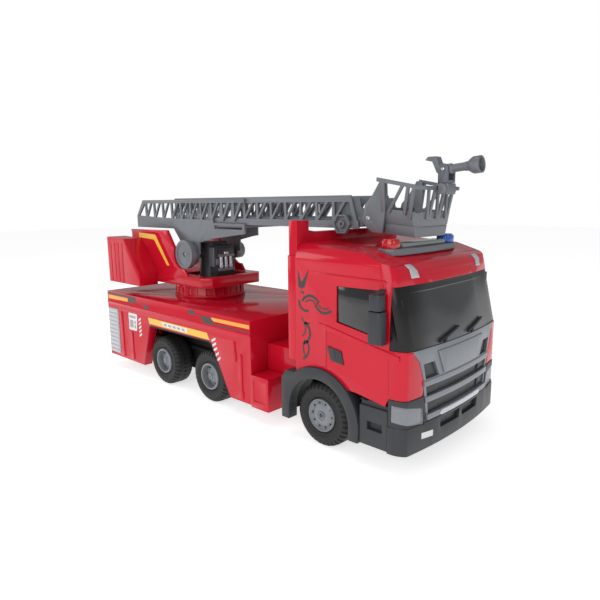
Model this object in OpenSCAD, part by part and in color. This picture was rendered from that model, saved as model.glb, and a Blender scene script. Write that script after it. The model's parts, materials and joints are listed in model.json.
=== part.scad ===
// Large toy fire engine with turntable ladder.
// Millimetres, +Z up, +X forwards. The origin lies on the floor, midway
// between the counterweight's back and the water cannon's muzzle.

/* [Running gear] */
// Distance of the front axle ahead of the origin
front_axle_x = 190; // [188:1:192]
// Distance from the front axle to the first rear axle
axle_gap_front = 221; // [219:1:223]
// Distance from the first rear axle to the second
axle_gap_rear = 122; // [120:1:124]
// Radius of the tyres, and height of the axles
tyre_r = 40; // [39:0.5:40.5]
// Width of a tyre
tyre_w = 34; // [30:1:35]
// Radius of the rims
rim_r = 21.6; // [20:0.2:22.5]
// Distance between the outer faces of a pair of wheels
track_w = 213; // [210:1:214]
// Diameter of the steel axles
axle_d = 6; // [5:0.5:7]

/* [Body] */
// Width of the bodywork
body_w = 221; // [219:1:223]
// Height of the rear body's top edge
body_top = 140; // [138:1:142]
// Height of the rear body's lower edge
body_low = 22; // [20:1:24]
// Wall thickness of the mouldings
wall = 3; // [2.4:0.2:3.2]

/* [Cab] */
// Height of the bottom of the windscreen
belt_z = 141; // [140:1:142]
// Height of the top of the windscreen
screen_top_z = 208; // [206:1:209]
// Lean of the windscreen, in degrees
screen_lean = 13; // [11:1:14]

/* [Turntable] */
// Position of the slewing axis along the vehicle
slew_x = -160; // [-162:1:-158]
// Radius of the fixed ring under the turntable
ring_r = 57; // [54:1:58]
// Radius of the spigot that the turntable turns on
spigot_r = 30; // [28:1:32]
// Height of the platform's top
platform_top = 176.5; // [175:0.5:178]

/* [Ladder] */
// Position of the lifting hinge along the vehicle
lift_x = -147; // [-148:1:-146]
// Height of the lifting hinge
lift_z = 212.5; // [212:0.5:213]
// Half width of the outer ladder section
ladder_y = 45; // [44:0.5:46]
// Thickness of the ladder sides
rail_t = 3; // [2.6:0.2:3]
// Spacing of the ladder's rungs
rung_pitch = 27.2; // [24:0.1:30]

/* [Basket] */
// Position of the basket hinge along the vehicle
basket_x = 209; // [208:1:210]
// Height of the basket hinge
basket_z = 276; // [275:1:277]
// Forward droop of the basket at rest, in degrees
basket_droop = 5.2; // [4:0.2:7]

/* [Hidden] */
$fn = 64;

eps = 0.5;
half_w = body_w / 2;
big = 400;
mid_axle_x = front_axle_x - axle_gap_front;
rear_axle_x = mid_axle_x - axle_gap_rear;
wheel_y = (track_w - tyre_w) / 2;
axle_r = axle_d / 2;
run_gap = 0.05;

// Rear body
body_x0 = -323;
body_x1 = 68;
deck_z = body_top;
deck_t = 3.5;
arch = [[-215.9, 0], [-186, 93], [-180, 96], [-23, 97], [-17, 94], [34.9, 0]];
boss_at = [[-290, 60], [-290, -60], [-228, 60], [-228, -60], [45, 60], [45, -60]];

// Chassis
floor_z = 60;
floor_t = 4;

// Cab
cab_x0 = 154;
nose_x = 317;
nose_bow_r = 690;
corner_r = 21;
roof_edge_r = 22;
arch_r = 62;
screen_x0 = 289;
nose_y = [79, 87, 99];
grille_z0 = 52;

// Turntable and ladder levels
ring_top = 160;
platform_z0 = 160.5;
fin_y = 61;
fin_t = 4;
disc_r = 23.5;
shaft_r = 4;
slide_gap = 0.5;
base_floor_z = 258.5;
middle_z0 = 263;
middle_z1 = 303.5;
middle_y = ladder_y - rail_t - slide_gap;
top_z0 = 266;
top_z1 = 300;
top_y = middle_y - rail_t - slide_gap;

// Water cannon
cannon_x = 288;
cannon_z = 331;
cannon_lift = 5;
muzzle_x = 330;

// ---- shared shapes -------------------------------------------------------

// An outline in X and Z, drawn through the vehicle's width
module across(points, width) {
    rotate([90, 0, 0]) linear_extrude(width, center = true) polygon(points);
}

// An outline in Y and Z, drawn forwards from x
module along(points, x, length) {
    translate([x, 0, 0]) rotate([90, 0, 90]) linear_extrude(length) polygon(points);
}

// A round bar across the vehicle, from y0 to y1
module cross_bar(x, z, r, y0, y1) {
    translate([x, y1, z]) rotate([90, 0, 0]) cylinder(r = r, h = y1 - y0);
}

// A box from its lowest to its highest corner
module block(low, high) {
    translate(low) cube(high - low);
}

// The shape and its mirror image on the other side of the vehicle
module both_sides() {
    children();
    mirror([0, 1, 0]) children();
}

// A rectangle with round corners, centred
module round_rect(w, d, r) {
    square([w - 2 * r, d], center = true);
    square([w, d - 2 * r], center = true);
    for (x = [-1, 1], y = [-1, 1])
        translate([x * (w / 2 - r), y * (d / 2 - r)]) circle(r = r, $fn = 32);
}

// ---- wheels --------------------------------------------------------------

// Outline of half a tyre: bead, sidewall, shoulder and tread
module tyre_outline() {
    h = tyre_w / 2;
    bead = rim_r - 1.2;
    polygon([
        [bead, -h + 3], [rim_r + 1, -h + 2], [rim_r + 2.5, -h + 0.8], [tyre_r - 9, -h],
        [tyre_r - 5, -h + 0.8],
        [tyre_r - 1.2, -h + 3.2], [tyre_r, -h + 5.5], [tyre_r, h - 5.5], [tyre_r - 1.2, h - 3.2],
        [tyre_r - 5, h - 0.8], [tyre_r - 9, h], [rim_r + 2.5, h - 0.8], [rim_r + 1, h - 2], [bead, h - 3]
    ]);
}

module tyre_pair(x) {
    color("#2e2f31")
    for (side = [-1, 1])
        translate([x, side * wheel_y, tyre_r]) rotate([90, 0, 0]) rotate_extrude($fn = 96) tyre_outline();
}

// Domed disc of a front wheel, with its ring of vent holes; +Z is outwards
module front_rim_shape() {
    h = tyre_w / 2;
    seat = rim_r - 1.2;
    difference() {
        rotate_extrude($fn = 96) polygon([
            [axle_r, -h + 6], [8, -h + 6], [8, h - 13], [seat - 2, h - 9], [seat - 2, -h + 3], [seat, -h + 3],
            [seat, h - 1], [seat - 1.4, h - 0.2], [seat - 3, h - 2.5], [seat - 5, h - 4.2], [13, h - 2.6],
            [9, h - 1.6], [6.5, h - 1.6], [6.2, h - 2.6], [4.6, h - 2.6], [4.2, h - 0.8], [axle_r, h - 0.8]
        ]);
        for (i = [0:9])
            rotate(i * 36) translate([seat - 4.9, 0, 0]) cylinder(r = 1.5, h = h + 1, $fn = 24);
    }
}

// Deep dish of a rear wheel; +Z is outwards
module rear_rim_shape() {
    h = tyre_w / 2;
    seat = rim_r - 1.2;
    difference() {
        rotate_extrude($fn = 96) polygon([
            [axle_r, -h + 6], [8, -h + 6], [8, -2], [seat - 2.5, 0], [seat - 2.5, -h + 3], [seat, -h + 3],
            [seat, h - 1.4], [seat - 1, h - 0.4], [seat - 3, h - 0.4], [seat - 4.6, 5], [12, 2.5],
            [9.6, 3], [9, 8], [7.4, 9.5], [axle_r, 9.5]
        ]);
        for (i = [0:7])
            rotate(i * 45) translate([seat - 6.4, 0, -h]) cylinder(r = 1.6, h = 2 * h, $fn = 24);
    }
}

module wheel_faces_out(x) {
    for (side = [-1, 1])
        translate([x, side * wheel_y, tyre_r]) rotate([side > 0 ? -90 : 90, 0, 0]) children();
}

module axle_rod(x) {
    color("#b9bcc0") cross_bar(x, tyre_r, axle_r, -track_w / 2 + 4, track_w / 2 - 4);
}

module axle_front() { axle_rod(front_axle_x); }
module axle_middle() { axle_rod(mid_axle_x); }
module axle_rear() { axle_rod(rear_axle_x); }
module tyres_front() { tyre_pair(front_axle_x); }
module tyres_middle() { tyre_pair(mid_axle_x); }
module tyres_rear() { tyre_pair(rear_axle_x); }
module rims_front() { color("#8c9196") wheel_faces_out(front_axle_x) front_rim_shape(); }
module rims_middle() { color("#8c9196") wheel_faces_out(mid_axle_x) rear_rim_shape(); }
module rims_rear() { color("#8c9196") wheel_faces_out(rear_axle_x) rear_rim_shape(); }

// ---- chassis -------------------------------------------------------------

// Moulded frame: a floor plate, two rails and three axle carriers
module chassis() {
    carrier_y = 67;
    color("#2b2d30") difference() {
        union() {
            block([body_x0 + 6, -70, floor_z], [cab_x0, 70, floor_z + floor_t]);
            block([cab_x0, -60, floor_z], [300, 60, floor_z + floor_t]);
            both_sides() block([body_x0 + 12, 30, 30], [296, 36, floor_z]);
            for (x = [front_axle_x, mid_axle_x, rear_axle_x])
                both_sides() block([x - 9, 54, 30], [x + 9, carrier_y, floor_z]);
            for (x = [front_axle_x, mid_axle_x, rear_axle_x, -250, 80, 280])
                block([x - 3, -54, 44], [x + 3, 54, floor_z]);
        }
        for (x = [front_axle_x, mid_axle_x, rear_axle_x])
            cross_bar(x, tyre_r, axle_r + run_gap, -carrier_y - 1, carrier_y + 1);
        for (p = boss_at)
            translate([p[0], p[1], floor_z - 1]) cylinder(r = 1.7, h = floor_t + 2, $fn = 32);
    }
}

// Screws that hold the rear body down on the chassis
module chassis_screws() {
    color("#8f9296") for (p = boss_at) translate([p[0], p[1], 0]) {
        difference() {
            translate([0, 0, floor_z - 2.2]) cylinder(r = 3.4, h = 2.2, $fn = 32);
            block([-2.4, -0.5, floor_z - 3], [2.4, 0.5, floor_z - 1]);
            block([-0.5, -2.4, floor_z - 3], [0.5, 2.4, floor_z - 1]);
        }
        translate([0, 0, floor_z - 0.5]) cylinder(r = 1.4, h = 16, $fn = 32);
    }
}

// ---- rear body -----------------------------------------------------------

// Room for the frame, where it passes through a wall
module frame_tunnel(x0, x1) {
    block([x0, -70.4, 10], [x1, 70.4, floor_z + floor_t + 0.2]);
}

// Raised strips on the locker doors, with a wider foot; x is the strip's middle
module pilaster(x, w, z0, z1) {
    both_sides() {
        block([x - w / 2, half_w - 2, z0], [x + w / 2, half_w + 0.6, z1]);
        block([x - w / 2 - 1.5, half_w - 2, z0], [x + w / 2 + 1.5, half_w + 0.6, z0 + 12]);
    }
}

module rear_body() {
    side_y = half_w - 1;
    shutter = [[-321, 27], [-287, 27], [-287, 110], [-321, 110]];
    color("#c4101f") difference() {
        union() {
            difference() {
                block([body_x0, -side_y, body_low], [body_x1, side_y, body_top]);
                block([body_x0 + wall, -side_y + wall, body_low - eps],
                      [body_x1 - wall, side_y - wall, deck_z - deck_t]);
            }
            both_sides() block([body_x0, side_y - 2, 118], [body_x1, half_w, 121]);
            pilaster(-275, 7, 26, 108);
            pilaster(-242, 5, 26, 76);
            pilaster(34, 5, 78, 106);
            pilaster(48, 5, 26, 90);
            for (p = boss_at)
                translate([p[0], p[1], floor_z + floor_t])
                    cylinder(r = 5, h = deck_z - deck_t - floor_z - floor_t + 1, $fn = 32);
        }
        across(arch, body_w + 10);
        both_sides() translate([0, half_w, 0]) across(shutter, 3);
        translate([slew_x, 0, deck_z - 10]) cylinder(r = spigot_r, h = 20);
        frame_tunnel(60, body_x1 + 1);
        both_sides() block([body_x0 - 1, 49.8, 25.8], [body_x0 + wall + 1, 60.2, 38.2]);
        for (p = boss_at)
            translate([p[0], p[1], floor_z]) cylinder(r = 1.4, h = 16, $fn = 32);
    }
}

// Roller shutter: a backing plate with raised slats
module shutter() {
    slats = 11;
    pitch = 82 / slats;
    color("#c3c8cd") {
        block([-320.6, half_w - 1.5, 27.4], [-287.4, half_w - 0.7, 109.6]);
        for (i = [0:slats - 1])
            block([-319.6, half_w - 0.8, 28.4 + i * pitch], [-288.4, half_w + 0.5, 33.6 + i * pitch]);
    }
}
module shutter_left() { shutter(); }
module shutter_right() { mirror([0, 1, 0]) shutter(); }

// Low locker between the rear body and the cab, with a recessed door
module rear_locker() {
    lid_z = 66;
    color("#c4101f") difference() {
        block([body_x1 + 0.2, -half_w, 20], [102, half_w, lid_z]);
        block([body_x1 - 1, -half_w + wall, 19], [102 - wall, half_w - wall, lid_z - wall]);
        both_sides() block([73, half_w - 1.2, 30], [97, half_w + 1, 58]);
        frame_tunnel(60, 110);
    }
}

// Box over the chassis that closes the space behind the cab
module link_box() {
    color("#b50e1c") difference() {
        block([body_x1 + 0.2, -78, lid_height()], [141 - 0.2, 78, 104]);
        block([body_x1 - 1, -78 + wall, lid_height() - 1], [142, 78 - wall, 104 - wall]);
    }
}
function lid_height() = 66.4;

// Black lips round the rear wheel openings
module rear_mudguards() {
    y0 = half_w - 15.3;
    y1 = half_w - 0.7;
    color("#26282a") both_sides() difference() {
        translate([0, y1, 0]) rotate([90, 0, 0]) linear_extrude(y1 - y0) difference() {
            offset(delta = -0.1) polygon(arch);
            offset(delta = -2.2) polygon(arch);
            translate([-300, -1]) square([400, body_low + 1]);
        }
        // the front pair of tyres turns inside the lip
        cross_bar(mid_axle_x, tyre_r, tyre_r + 2, y0 - 1, half_w - 3.7);
    }
}

// Bar across the tail, below the body
module rear_bumper() {
    color("#26282a") {
        block([body_x0 - 6.5, -100, 24], [body_x0 - 0.1, 100, 40]);
        both_sides() block([body_x0 - 0.2, 50, 26], [body_x0 + wall + 0.1, 60, 38]);
    }
}

// Lamp clusters on the tail
module tail_lamps() {
    color("#a3131a") both_sides() for (i = [0:2])
        block([body_x0 - 4, 64 + i * 14, 44], [body_x0, 76 + i * 14, 56]);
}

// Ribbed ring that the turntable stands on
module deck_ring() {
    ribs = 24;
    color("#b50e1c") difference() {
        union() {
            translate([slew_x, 0, deck_z]) cylinder(r = ring_r + 4, h = 4, $fn = 96);
            translate([slew_x, 0, deck_z]) cylinder(r = ring_r, h = ring_top - deck_z, $fn = 96);
            for (i = [0:ribs - 1])
                translate([slew_x, 0, deck_z]) rotate(i * 360 / ribs)
                    block([ring_r - 2, -1.2, 0], [ring_r + 2.2, 1.2, ring_top - deck_z - 4]);
        }
        translate([slew_x, 0, deck_z - 1]) cylinder(r = spigot_r + 1, h = 40);
    }
}

// ---- cab -----------------------------------------------------------------

// Plan outline of the cab: straight sides, round corners and a bowed nose
module cab_plan(inset) {
    intersection() {
        translate([nose_x - nose_bow_r, 0]) circle(r = nose_bow_r - inset, $fn = 720);
        union() {
            translate([0, -half_w + inset]) square([nose_x - corner_r, body_w - 2 * inset]);
            translate([0, -half_w + corner_r]) square([nose_x - inset, body_w - 2 * corner_r]);
            for (s = [-1, 1])
                translate([nose_x - corner_r - 2, s * (half_w - corner_r)]) circle(r = corner_r - inset);
        }
    }
}

// Front view of the cab: upright sides and a roof with round edges
module cab_front_view(inset) {
    union() {
        translate([-half_w + inset, 0]) square([body_w - 2 * inset, 228]);
        translate([-half_w + roof_edge_r, 0]) square([body_w - 2 * roof_edge_r, 250 - inset]);
        for (s = [-1, 1])
            translate([s * (half_w - roof_edge_r), 250 - roof_edge_r]) circle(r = roof_edge_r - inset);
    }
}

// Side view of the cab above the belt
module cab_side_view(inset) {
    polygon([
        [cab_x0, 60], [cab_x0, 248 - inset], [250, 241 - inset], [277, 232 - inset], [277, 60]
    ]);
    translate([274, 206]) circle(r = 26 - inset, $fn = 96);
    polygon([[270, 60], [270, 206], [300 - inset, 206], [nose_x + 4, belt_z - 10], [nose_x + 4, 60]]);
}

// Solid shape of the cab, shrunk by inset on every side but the bottom
module cab_form(inset) {
    intersection() {
        union() {
            translate([0, 0, 60]) linear_extrude(belt_z - 60) cab_plan(inset);
            // leaning upper part
            translate([nose_x, 0, belt_z]) rotate([0, -screen_lean, 0]) translate([-nose_x, 0, -0.5])
                linear_extrude(120) cab_plan(inset);
            block([cab_x0, -half_w + inset, 60], [cab_x0 + 110, half_w - inset, 250]);
        }
        rotate([90, 0, 0]) linear_extrude(body_w + 20, center = true) cab_side_view(inset);
        translate([cab_x0 - 1, 0, 0]) rotate([90, 0, 90]) linear_extrude(200) cab_front_view(inset);
    }
}

// Room that the windscreen takes out of the cab shell
module screen_zone(gap) {
    block([screen_x0 + gap, -half_w - 5, belt_z + gap], [nose_x + 20, half_w + 5, screen_top_z - gap]);
}

// Lower edge of the red cab panels
module cab_sill_cut() {
    across([[140, 0], [140, 90], [246, 84], [285, 78], [289, 88], [340, 88], [340, 0]], body_w + 20);
    cross_bar(front_axle_x, tyre_r, arch_r, -half_w - 5, half_w + 5);
}

// Side window opening
window = [[217.5, 161], [217.5, 202.5], [274.5, 203.5], [270, 152], [262, 153.5]];

// Opening for the grille in the nose
module nose_opening(grow) {
    along([
        [-nose_y[0] - grow, 60], [nose_y[0] + grow, 60], [nose_y[0] + grow, 106], [nose_y[1] + grow, 128],
        [nose_y[2] + grow, belt_z + 1], [-nose_y[2] - grow, belt_z + 1], [-nose_y[1] - grow, 128],
        [-nose_y[0] - grow, 106]
    ], 296, 40);
}

module cab_shell() {
    color("#c4101f") {
        difference() {
            cab_form(0);
            cab_form(wall);
            screen_zone(0);
            cab_sill_cut();
            nose_opening(0);
            across(window, body_w + 20);
            block([cab_x0 - 5, -big, 50], [cab_x0, big, 300]);
        }
        // belt crease below the window, from the wing to the nose
        both_sides() translate([0, half_w + 0.2, 0]) across([
            [cab_x0 + 36, 156.5], [cab_x0 + 52, 155], [302, 136], [302, 131.5], [cab_x0 + 40, 152]
        ], 1.4);
        // seam line of the door, a raised bead
        both_sides() translate([0, half_w, 0]) across([
            [201.4, 106], [202.8, 106], [202.8, 153], [201.4, 153.2]
        ], 0.8);
    }
}

// Wall behind the cab, with the two posts that the ladder lies between
module cab_bulkhead() {
    x0 = 141;
    depth = 12.8;
    color("#c4101f") {
        difference() {
            along([
                [-half_w, 66.6], [half_w, 66.6], [half_w, 232.5], [108, 232.5], [108, 274], [86, 274],
                [86, 262], [70, 259.5], [-70, 259.5], [-86, 262], [-86, 274], [-108, 274],
                [-108, 232.5], [-half_w, 232.5]
            ], x0, depth);
            block([x0 + 4, -half_w + wall, 60], [x0 + depth + 1, half_w - wall, 228]);
            block([x0 - 1, -big, 60], [x0 + depth + 1, -78, 104]);
            block([x0 - 1, 78, 60], [x0 + depth + 1, big, 104]);
        }
        both_sides() block([x0 + 3.8, 84, 104], [x0 + depth, 88, 230]);
    }
}

module windscreen() {
    color("#33363a") intersection() {
        difference() {
            cab_form(0.6);
            cab_form(wall);
        }
        screen_zone(0.15);
    }
}

module side_window(side) {
    color("#3a3d41") translate([0, side * (half_w - 2), 0]) across([
        [217.7, 161.2], [217.7, 202.3], [274.2, 203.3], [269.8, 152.3], [262, 153.8]
    ], 1.8);
}
module side_window_right() { side_window(-1); }
module side_window_left() { side_window(1); }

// Two mirror housings on one arm, held at the screen pillar
module mirror_unit() {
    color("#34373a") {
        translate([280, 120.7, 149.5]) linear_extrude(34) round_rect(17, 14.6, 4);
        translate([279.5, 120.7, 184.8]) linear_extrude(16.4) round_rect(15, 13.6, 4);
        block([278, 118, 182], [282, 124, 186]);
        along([[half_w + 0.05, 199], [124, 199], [124, 202], [half_w + 0.05, 206]], 277, 6);
        along([[half_w + 0.05, 147], [118, 147], [120, 151], [half_w + 0.05, 151]], 280, 5);
    }
}
module mirror_left() { mirror_unit(); }
module mirror_right() { mirror([0, 1, 0]) mirror_unit(); }

// Recessed door handles with an upright grip
module door_handles() {
    plate = [[204.5, 131], [225, 128], [229, 113], [210, 115]];
    color("#3a3d41") both_sides() {
        translate([0, half_w + 0.75, 0]) across(plate, 1.4);
        block([213, half_w + 0.05, 118], [217, half_w + 2, 127]);
    }
}

// A band that follows the nose, from the inset in to the inset out
module nose_band(inset_out, inset_in, z0, z1) {
    translate([0, 0, z0]) linear_extrude(z1 - z0) difference() {
        cab_plan(inset_out);
        cab_plan(inset_in);
    }
}

// Silver front panel with the three cross bars
module grille() {
    bar_h = 6.5;
    color("#8d9399") {
        intersection() {
            nose_band(-0.4, 3, 98, belt_z - 0.4);
            difference() {
                along([
                    [-nose_y[0] + 0.3, 98], [nose_y[0] - 0.3, 98], [nose_y[0] - 0.3, 106],
                    [nose_y[1] - 0.3, 128],
                    [nose_y[2] - 0.4, belt_z], [-nose_y[2] + 0.4, belt_z], [-nose_y[1] + 0.3, 128],
                    [-nose_y[0] + 0.3, 106]
                ], 290, 40);
                both_sides() along([[50, 106], [75, 106], [80, 124], [60, 124]], 280, 60);
            }
        }
        intersection() {
            union() {
                nose_band(-1.4, 3, 79.5, 79.5 + bar_h);
                nose_band(-2.2, 3, 59, 59 + bar_h);
                nose_band(-1.4, 3, 98, 98 + bar_h);
            }
            along([[-70.6, 52], [70.6, 52], [78.6, 106], [-78.6, 106]], 290, 40);
        }
        intersection() {
            nose_band(0, 3, 57.9, 99);
            both_sides() along([[66.6, grille_z0], [70.6, grille_z0], [78, 99], [74, 99]], 290, 40);
        }
    }
}

// Black mesh behind the bars, a plate with upright and level ribs
module grille_mesh() {
    color("#1d1f21") {
        intersection() {
            nose_band(3.1, 5.5, grille_z0, 130);
            along([[-70, grille_z0], [70, grille_z0], [78, 104], [84, 128], [-84, 128], [-78, 104]], 290, 40);
        }
    }
}

// Openings of the lower air intake
module intake_hole(y0, y1) {
    along([[y0 + 2, 43], [y1 - 2, 43], [y1, 54], [y0, 54]], 290, 40);
}

// Dark bumper that carries the headlights and runs round to the sides
module front_bumper() {
    color("#3b3e42") difference() {
        intersection() {
            union() {
                nose_band(-1.4, 3, 26, 57);
                nose_band(-0.6, 3, 57, 87.4);
            }
            across([[289.4, 26], [330, 26], [330, 87.4], [289.4, 87.4]], body_w + 20);
        }
        // the grille's place
        along([[-71.9, 57.6], [71.9, 57.6], [76.9, 88], [-76.9, 88]], 290, 40);
        both_sides() headlight_room(0);
        intake_hole(-47, -2);
        intake_hole(2, 47);
    }
}

// Slanted window of a headlight
module headlight_room(gap) {
    along([
        [77 + gap, 55 + gap], [half_w - 4, 61 + gap], [half_w + 6, 64 + gap], [half_w + 6, 82.5 - gap],
        [half_w - 4, 81 - gap], [79 + gap, 74.5 - gap]
    ], 293 + gap, 40);
}

module headlight() {
    color("#cfd6db") intersection() {
        nose_band(-0.2, 3, 50, 86);
        headlight_room(0.15);
    }
}
module headlight_left() { headlight(); }
module headlight_right() { mirror([0, 1, 0]) headlight(); }

// Flared arch over the front wheel
module fender() {
    inner_r = 47;
    y0 = 98;
    leg = 60;
    color("#3b3e42") difference() {
        union() {
            intersection() {
                cross_bar(front_axle_x, tyre_r, arch_r - 0.3, y0, half_w + 3);
                across([[130, 25], [260, 25], [260, 110], [130, 110]], big);
            }
            translate([0, (y0 + half_w + 3) / 2, 0]) across([
                [front_axle_x - leg, 25], [front_axle_x - leg, 78], [front_axle_x - 52, 89],
                [front_axle_x - 36, 89], [front_axle_x - 36, 25]
            ], half_w + 3 - y0);
            translate([0, (y0 + half_w + 3) / 2, 0]) across([
                [front_axle_x + 36, 25], [front_axle_x + 36, 60], [front_axle_x + leg - 3, 60],
                [front_axle_x + leg + 1, 25]
            ], half_w + 3 - y0);
        }
        cross_bar(front_axle_x, tyre_r, inner_r, y0 - 1, half_w + 4);
        block([front_axle_x - inner_r, y0 - 1, 0], [front_axle_x + inner_r, half_w + 4, tyre_r]);
    }
}
module fender_left() { fender(); }
module fender_right() { mirror([0, 1, 0]) fender(); }

// Side skirt between the fender and the bumper, with a step cut into it
module skirt() {
    color("#36393c") difference() {
        translate([0, half_w - 7, 0]) across([
            [front_axle_x + 62, 27], [288.8, 27], [288.8, 78], [284.6, 77], [front_axle_x + 62, 80]
        ], 15.4);
        block([262, half_w - 6, 46], [282, half_w + 3, 56]);
        block([front_axle_x + 61, half_w - 3, 73], [289, half_w + 3, 79]);
    }
}
module skirt_left() { skirt(); }
module skirt_right() { mirror([0, 1, 0]) skirt(); }

// Marker lamps at the roof's front corners
module roof_lamps() {
    color("#c9ccd0") both_sides() intersection() {
        difference() {
            cab_form(-1.2);
            cab_form(-0.03);
        }
        along([[68, 215], [81, 215], [83, 229], [72, 229]], 280, 30);
    }
}

// Swept bar that carries the beacons
module light_bar_base() {
    color("#777c82") difference() {
        translate([0, 0, 236]) linear_extrude(7.4) polygon([
            [242, -64], [246, -73], [258, -75], [266, -71], [270, -60], [272, 0],
            [270, 60], [266, 71], [258, 75], [246, 73], [242, 64]
        ]);
        cab_form(-0.05);
    }
}

module beacon(side, shade) {
    color(shade) {
        translate([256, side * 62.5, 243.5]) linear_extrude(8.9) round_rect(20, 21, 8.5);
        translate([256, side * 62.5, 252.3]) linear_extrude(2) round_rect(17, 18, 7.5);
    }
}
module beacon_red() { beacon(-1, "#b80d12"); }
module beacon_blue() { beacon(1, "#1656b8"); }
module light_bar_lens() {
    color("#4a4e53") translate([256, 0, 243.5]) linear_extrude(5.4) round_rect(18, 100, 5);
}

// Wiper arms and blades, curved to lie on the windscreen
module wipers() {
    color("#1c1d1f") translate([nose_x, 0, belt_z]) rotate([0, -screen_lean, 0])
        intersection() {
            translate([-nose_bow_r, 0, 0]) difference() {
                cylinder(r = nose_bow_r + 2.2, h = 30, $fn = 720);
                translate([0, 0, -1]) cylinder(r = nose_bow_r + 0.1, h = 32, $fn = 720);
            }
            union() {
                along([[-52, 2], [-49, 2], [-8, 12], [-8, 14.5], [-52, 5]], -30, 60);
                along([[-44, 1], [-39, 1], [-36, 7.5], [-40, 6.8]], -30, 60);
                along([[12, 2], [15, 2], [56, 12], [56, 14.5], [12, 5]], -30, 60);
                along([[20, 1], [25, 1], [28, 7.5], [24, 6.8]], -30, 60);
            }
        }
}

// ---- turntable -----------------------------------------------------------

// Platform with its well, spigot and the two fins beside the ladder
module turntable() {
    fin = [[-304, platform_z0], [-304, 250], [-190, 251], [-158, 206], [-136, 176], [-136, platform_z0]];
    color("#c4101f") difference() {
        union() {
            translate([0, 0, platform_z0]) linear_extrude(platform_top - platform_z0) polygon([
                [-250, -fin_y - 2], [-100, -fin_y - 2], [-87, -50],
                [-87, 50], [-100, fin_y + 2], [-250, fin_y + 2]
            ]);
            both_sides() block([-304, 51, platform_z0], [-249, fin_y + 2, platform_top]);
            both_sides() translate([0, fin_y, 0]) across(fin, fin_t);
            both_sides() translate([0, fin_y + 2.4, 0]) across([
                [-304, 246.5], [-304, 250], [-190, 251], [-150, 195],
                [-156, 190], [-177, 190], [-222, 246.5]
            ], 1.2);
            translate([slew_x, 0, 128]) cylinder(r = spigot_r - run_gap, h = 34);
        }
        // well round the lifting pedestal
        block([-185, -40, platform_top - 9], [-104, 40, platform_top + 1]);
        both_sides() cross_bar(lift_x, lift_z, disc_r + 1.4, 50, 70);
        translate([slew_x, 0, 120]) cylinder(r = spigot_r - 6, h = 44);
    }
}

// Two hollow pods beside the ladder's tail, joined low down behind it
module counterweight() {
    pod = [[-330, 156], [-226, 156], [-226, 178], [-272, 235], [-330, 237]];
    pod_room = [[-327, 155], [-229, 155], [-229, 176.5], [-273, 232], [-327, 234]];
    color("#bb0f1d") {
        both_sides() difference() {
            translate([0, 81, 0]) across(pod, 35.6);
            translate([0, 81, 0]) across(pod_room, 30);
            for (i = [0:3])
                translate([-318 + i * 13, 98, 0]) block([0, 0, 158], [2.2, 2, 228]);
        }
        block([-330, -64, 150.5], [-321, 64, 156.2]);
        both_sides() block([-330, 63, 150.5], [-321, 70, 156.2]);
    }
}

// Disc screwed under the spigot that keeps the turntable on the deck
module turntable_retainer() {
    color("#3b3e42") difference() {
        union() {
            translate([slew_x, 0, 124.9]) cylinder(r = spigot_r + 8, h = 3);
            translate([slew_x, 0, 124.9]) cylinder(r = spigot_r - 6.2, h = 8);
        }
        translate([slew_x, 0, 120]) cylinder(r = 12, h = 20);
    }
}

// Upright housing that carries the lifting shaft
module lift_pedestal() {
    foot_z = platform_top - 9;
    top_z = 230;
    sleeve_r = 8;
    color("#44484d") difference() {
        union() {
            translate([lift_x, 0, foot_z]) cylinder(r = 24, h = top_z - foot_z, $fn = 64);
            translate([lift_x, 0, foot_z]) cylinder(r = 28, h = 6, $fn = 64);
            block([lift_x, -19, foot_z], [lift_x + 33, 19, top_z - 5]);
            block([lift_x + 20, -14, top_z - 18], [lift_x + 36, 14, top_z - 8]);
            cross_bar(lift_x, lift_z, sleeve_r, -40.5, 40.5);
        }
        cross_bar(lift_x, lift_z, shaft_r, -50, 50);
    }
}

// Steel shaft that the ladder is lifted about
module lift_shaft() {
    color("#b9bcc0") cross_bar(lift_x, lift_z, shaft_r, -58, 58);
}

// ---- ladder --------------------------------------------------------------

// Lattice of one ladder side: slanted and upright bars between two heights
module lattice(x0, x1, z0, z1, bar, pitch) {
    count = floor((x1 - x0) / pitch);
    step = (x1 - x0) / count;
    for (i = [0:count - 1]) {
        x = x0 + i * step;
        polygon([[x, z0], [x + bar, z0], [x + step * 0.62 + bar, z1], [x + step * 0.62, z1]]);
        polygon([[x, z0], [x + bar, z0], [x + bar * 0.8, z1], [x - bar * 0.2, z1]]);
    }
}

// One side panel at height y, drawn in X and Z
module ladder_side(y) {
    both_sides() translate([0, y - rail_t / 2, 0]) rotate([90, 0, 0])
        linear_extrude(rail_t, center = true) children();
}

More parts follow.
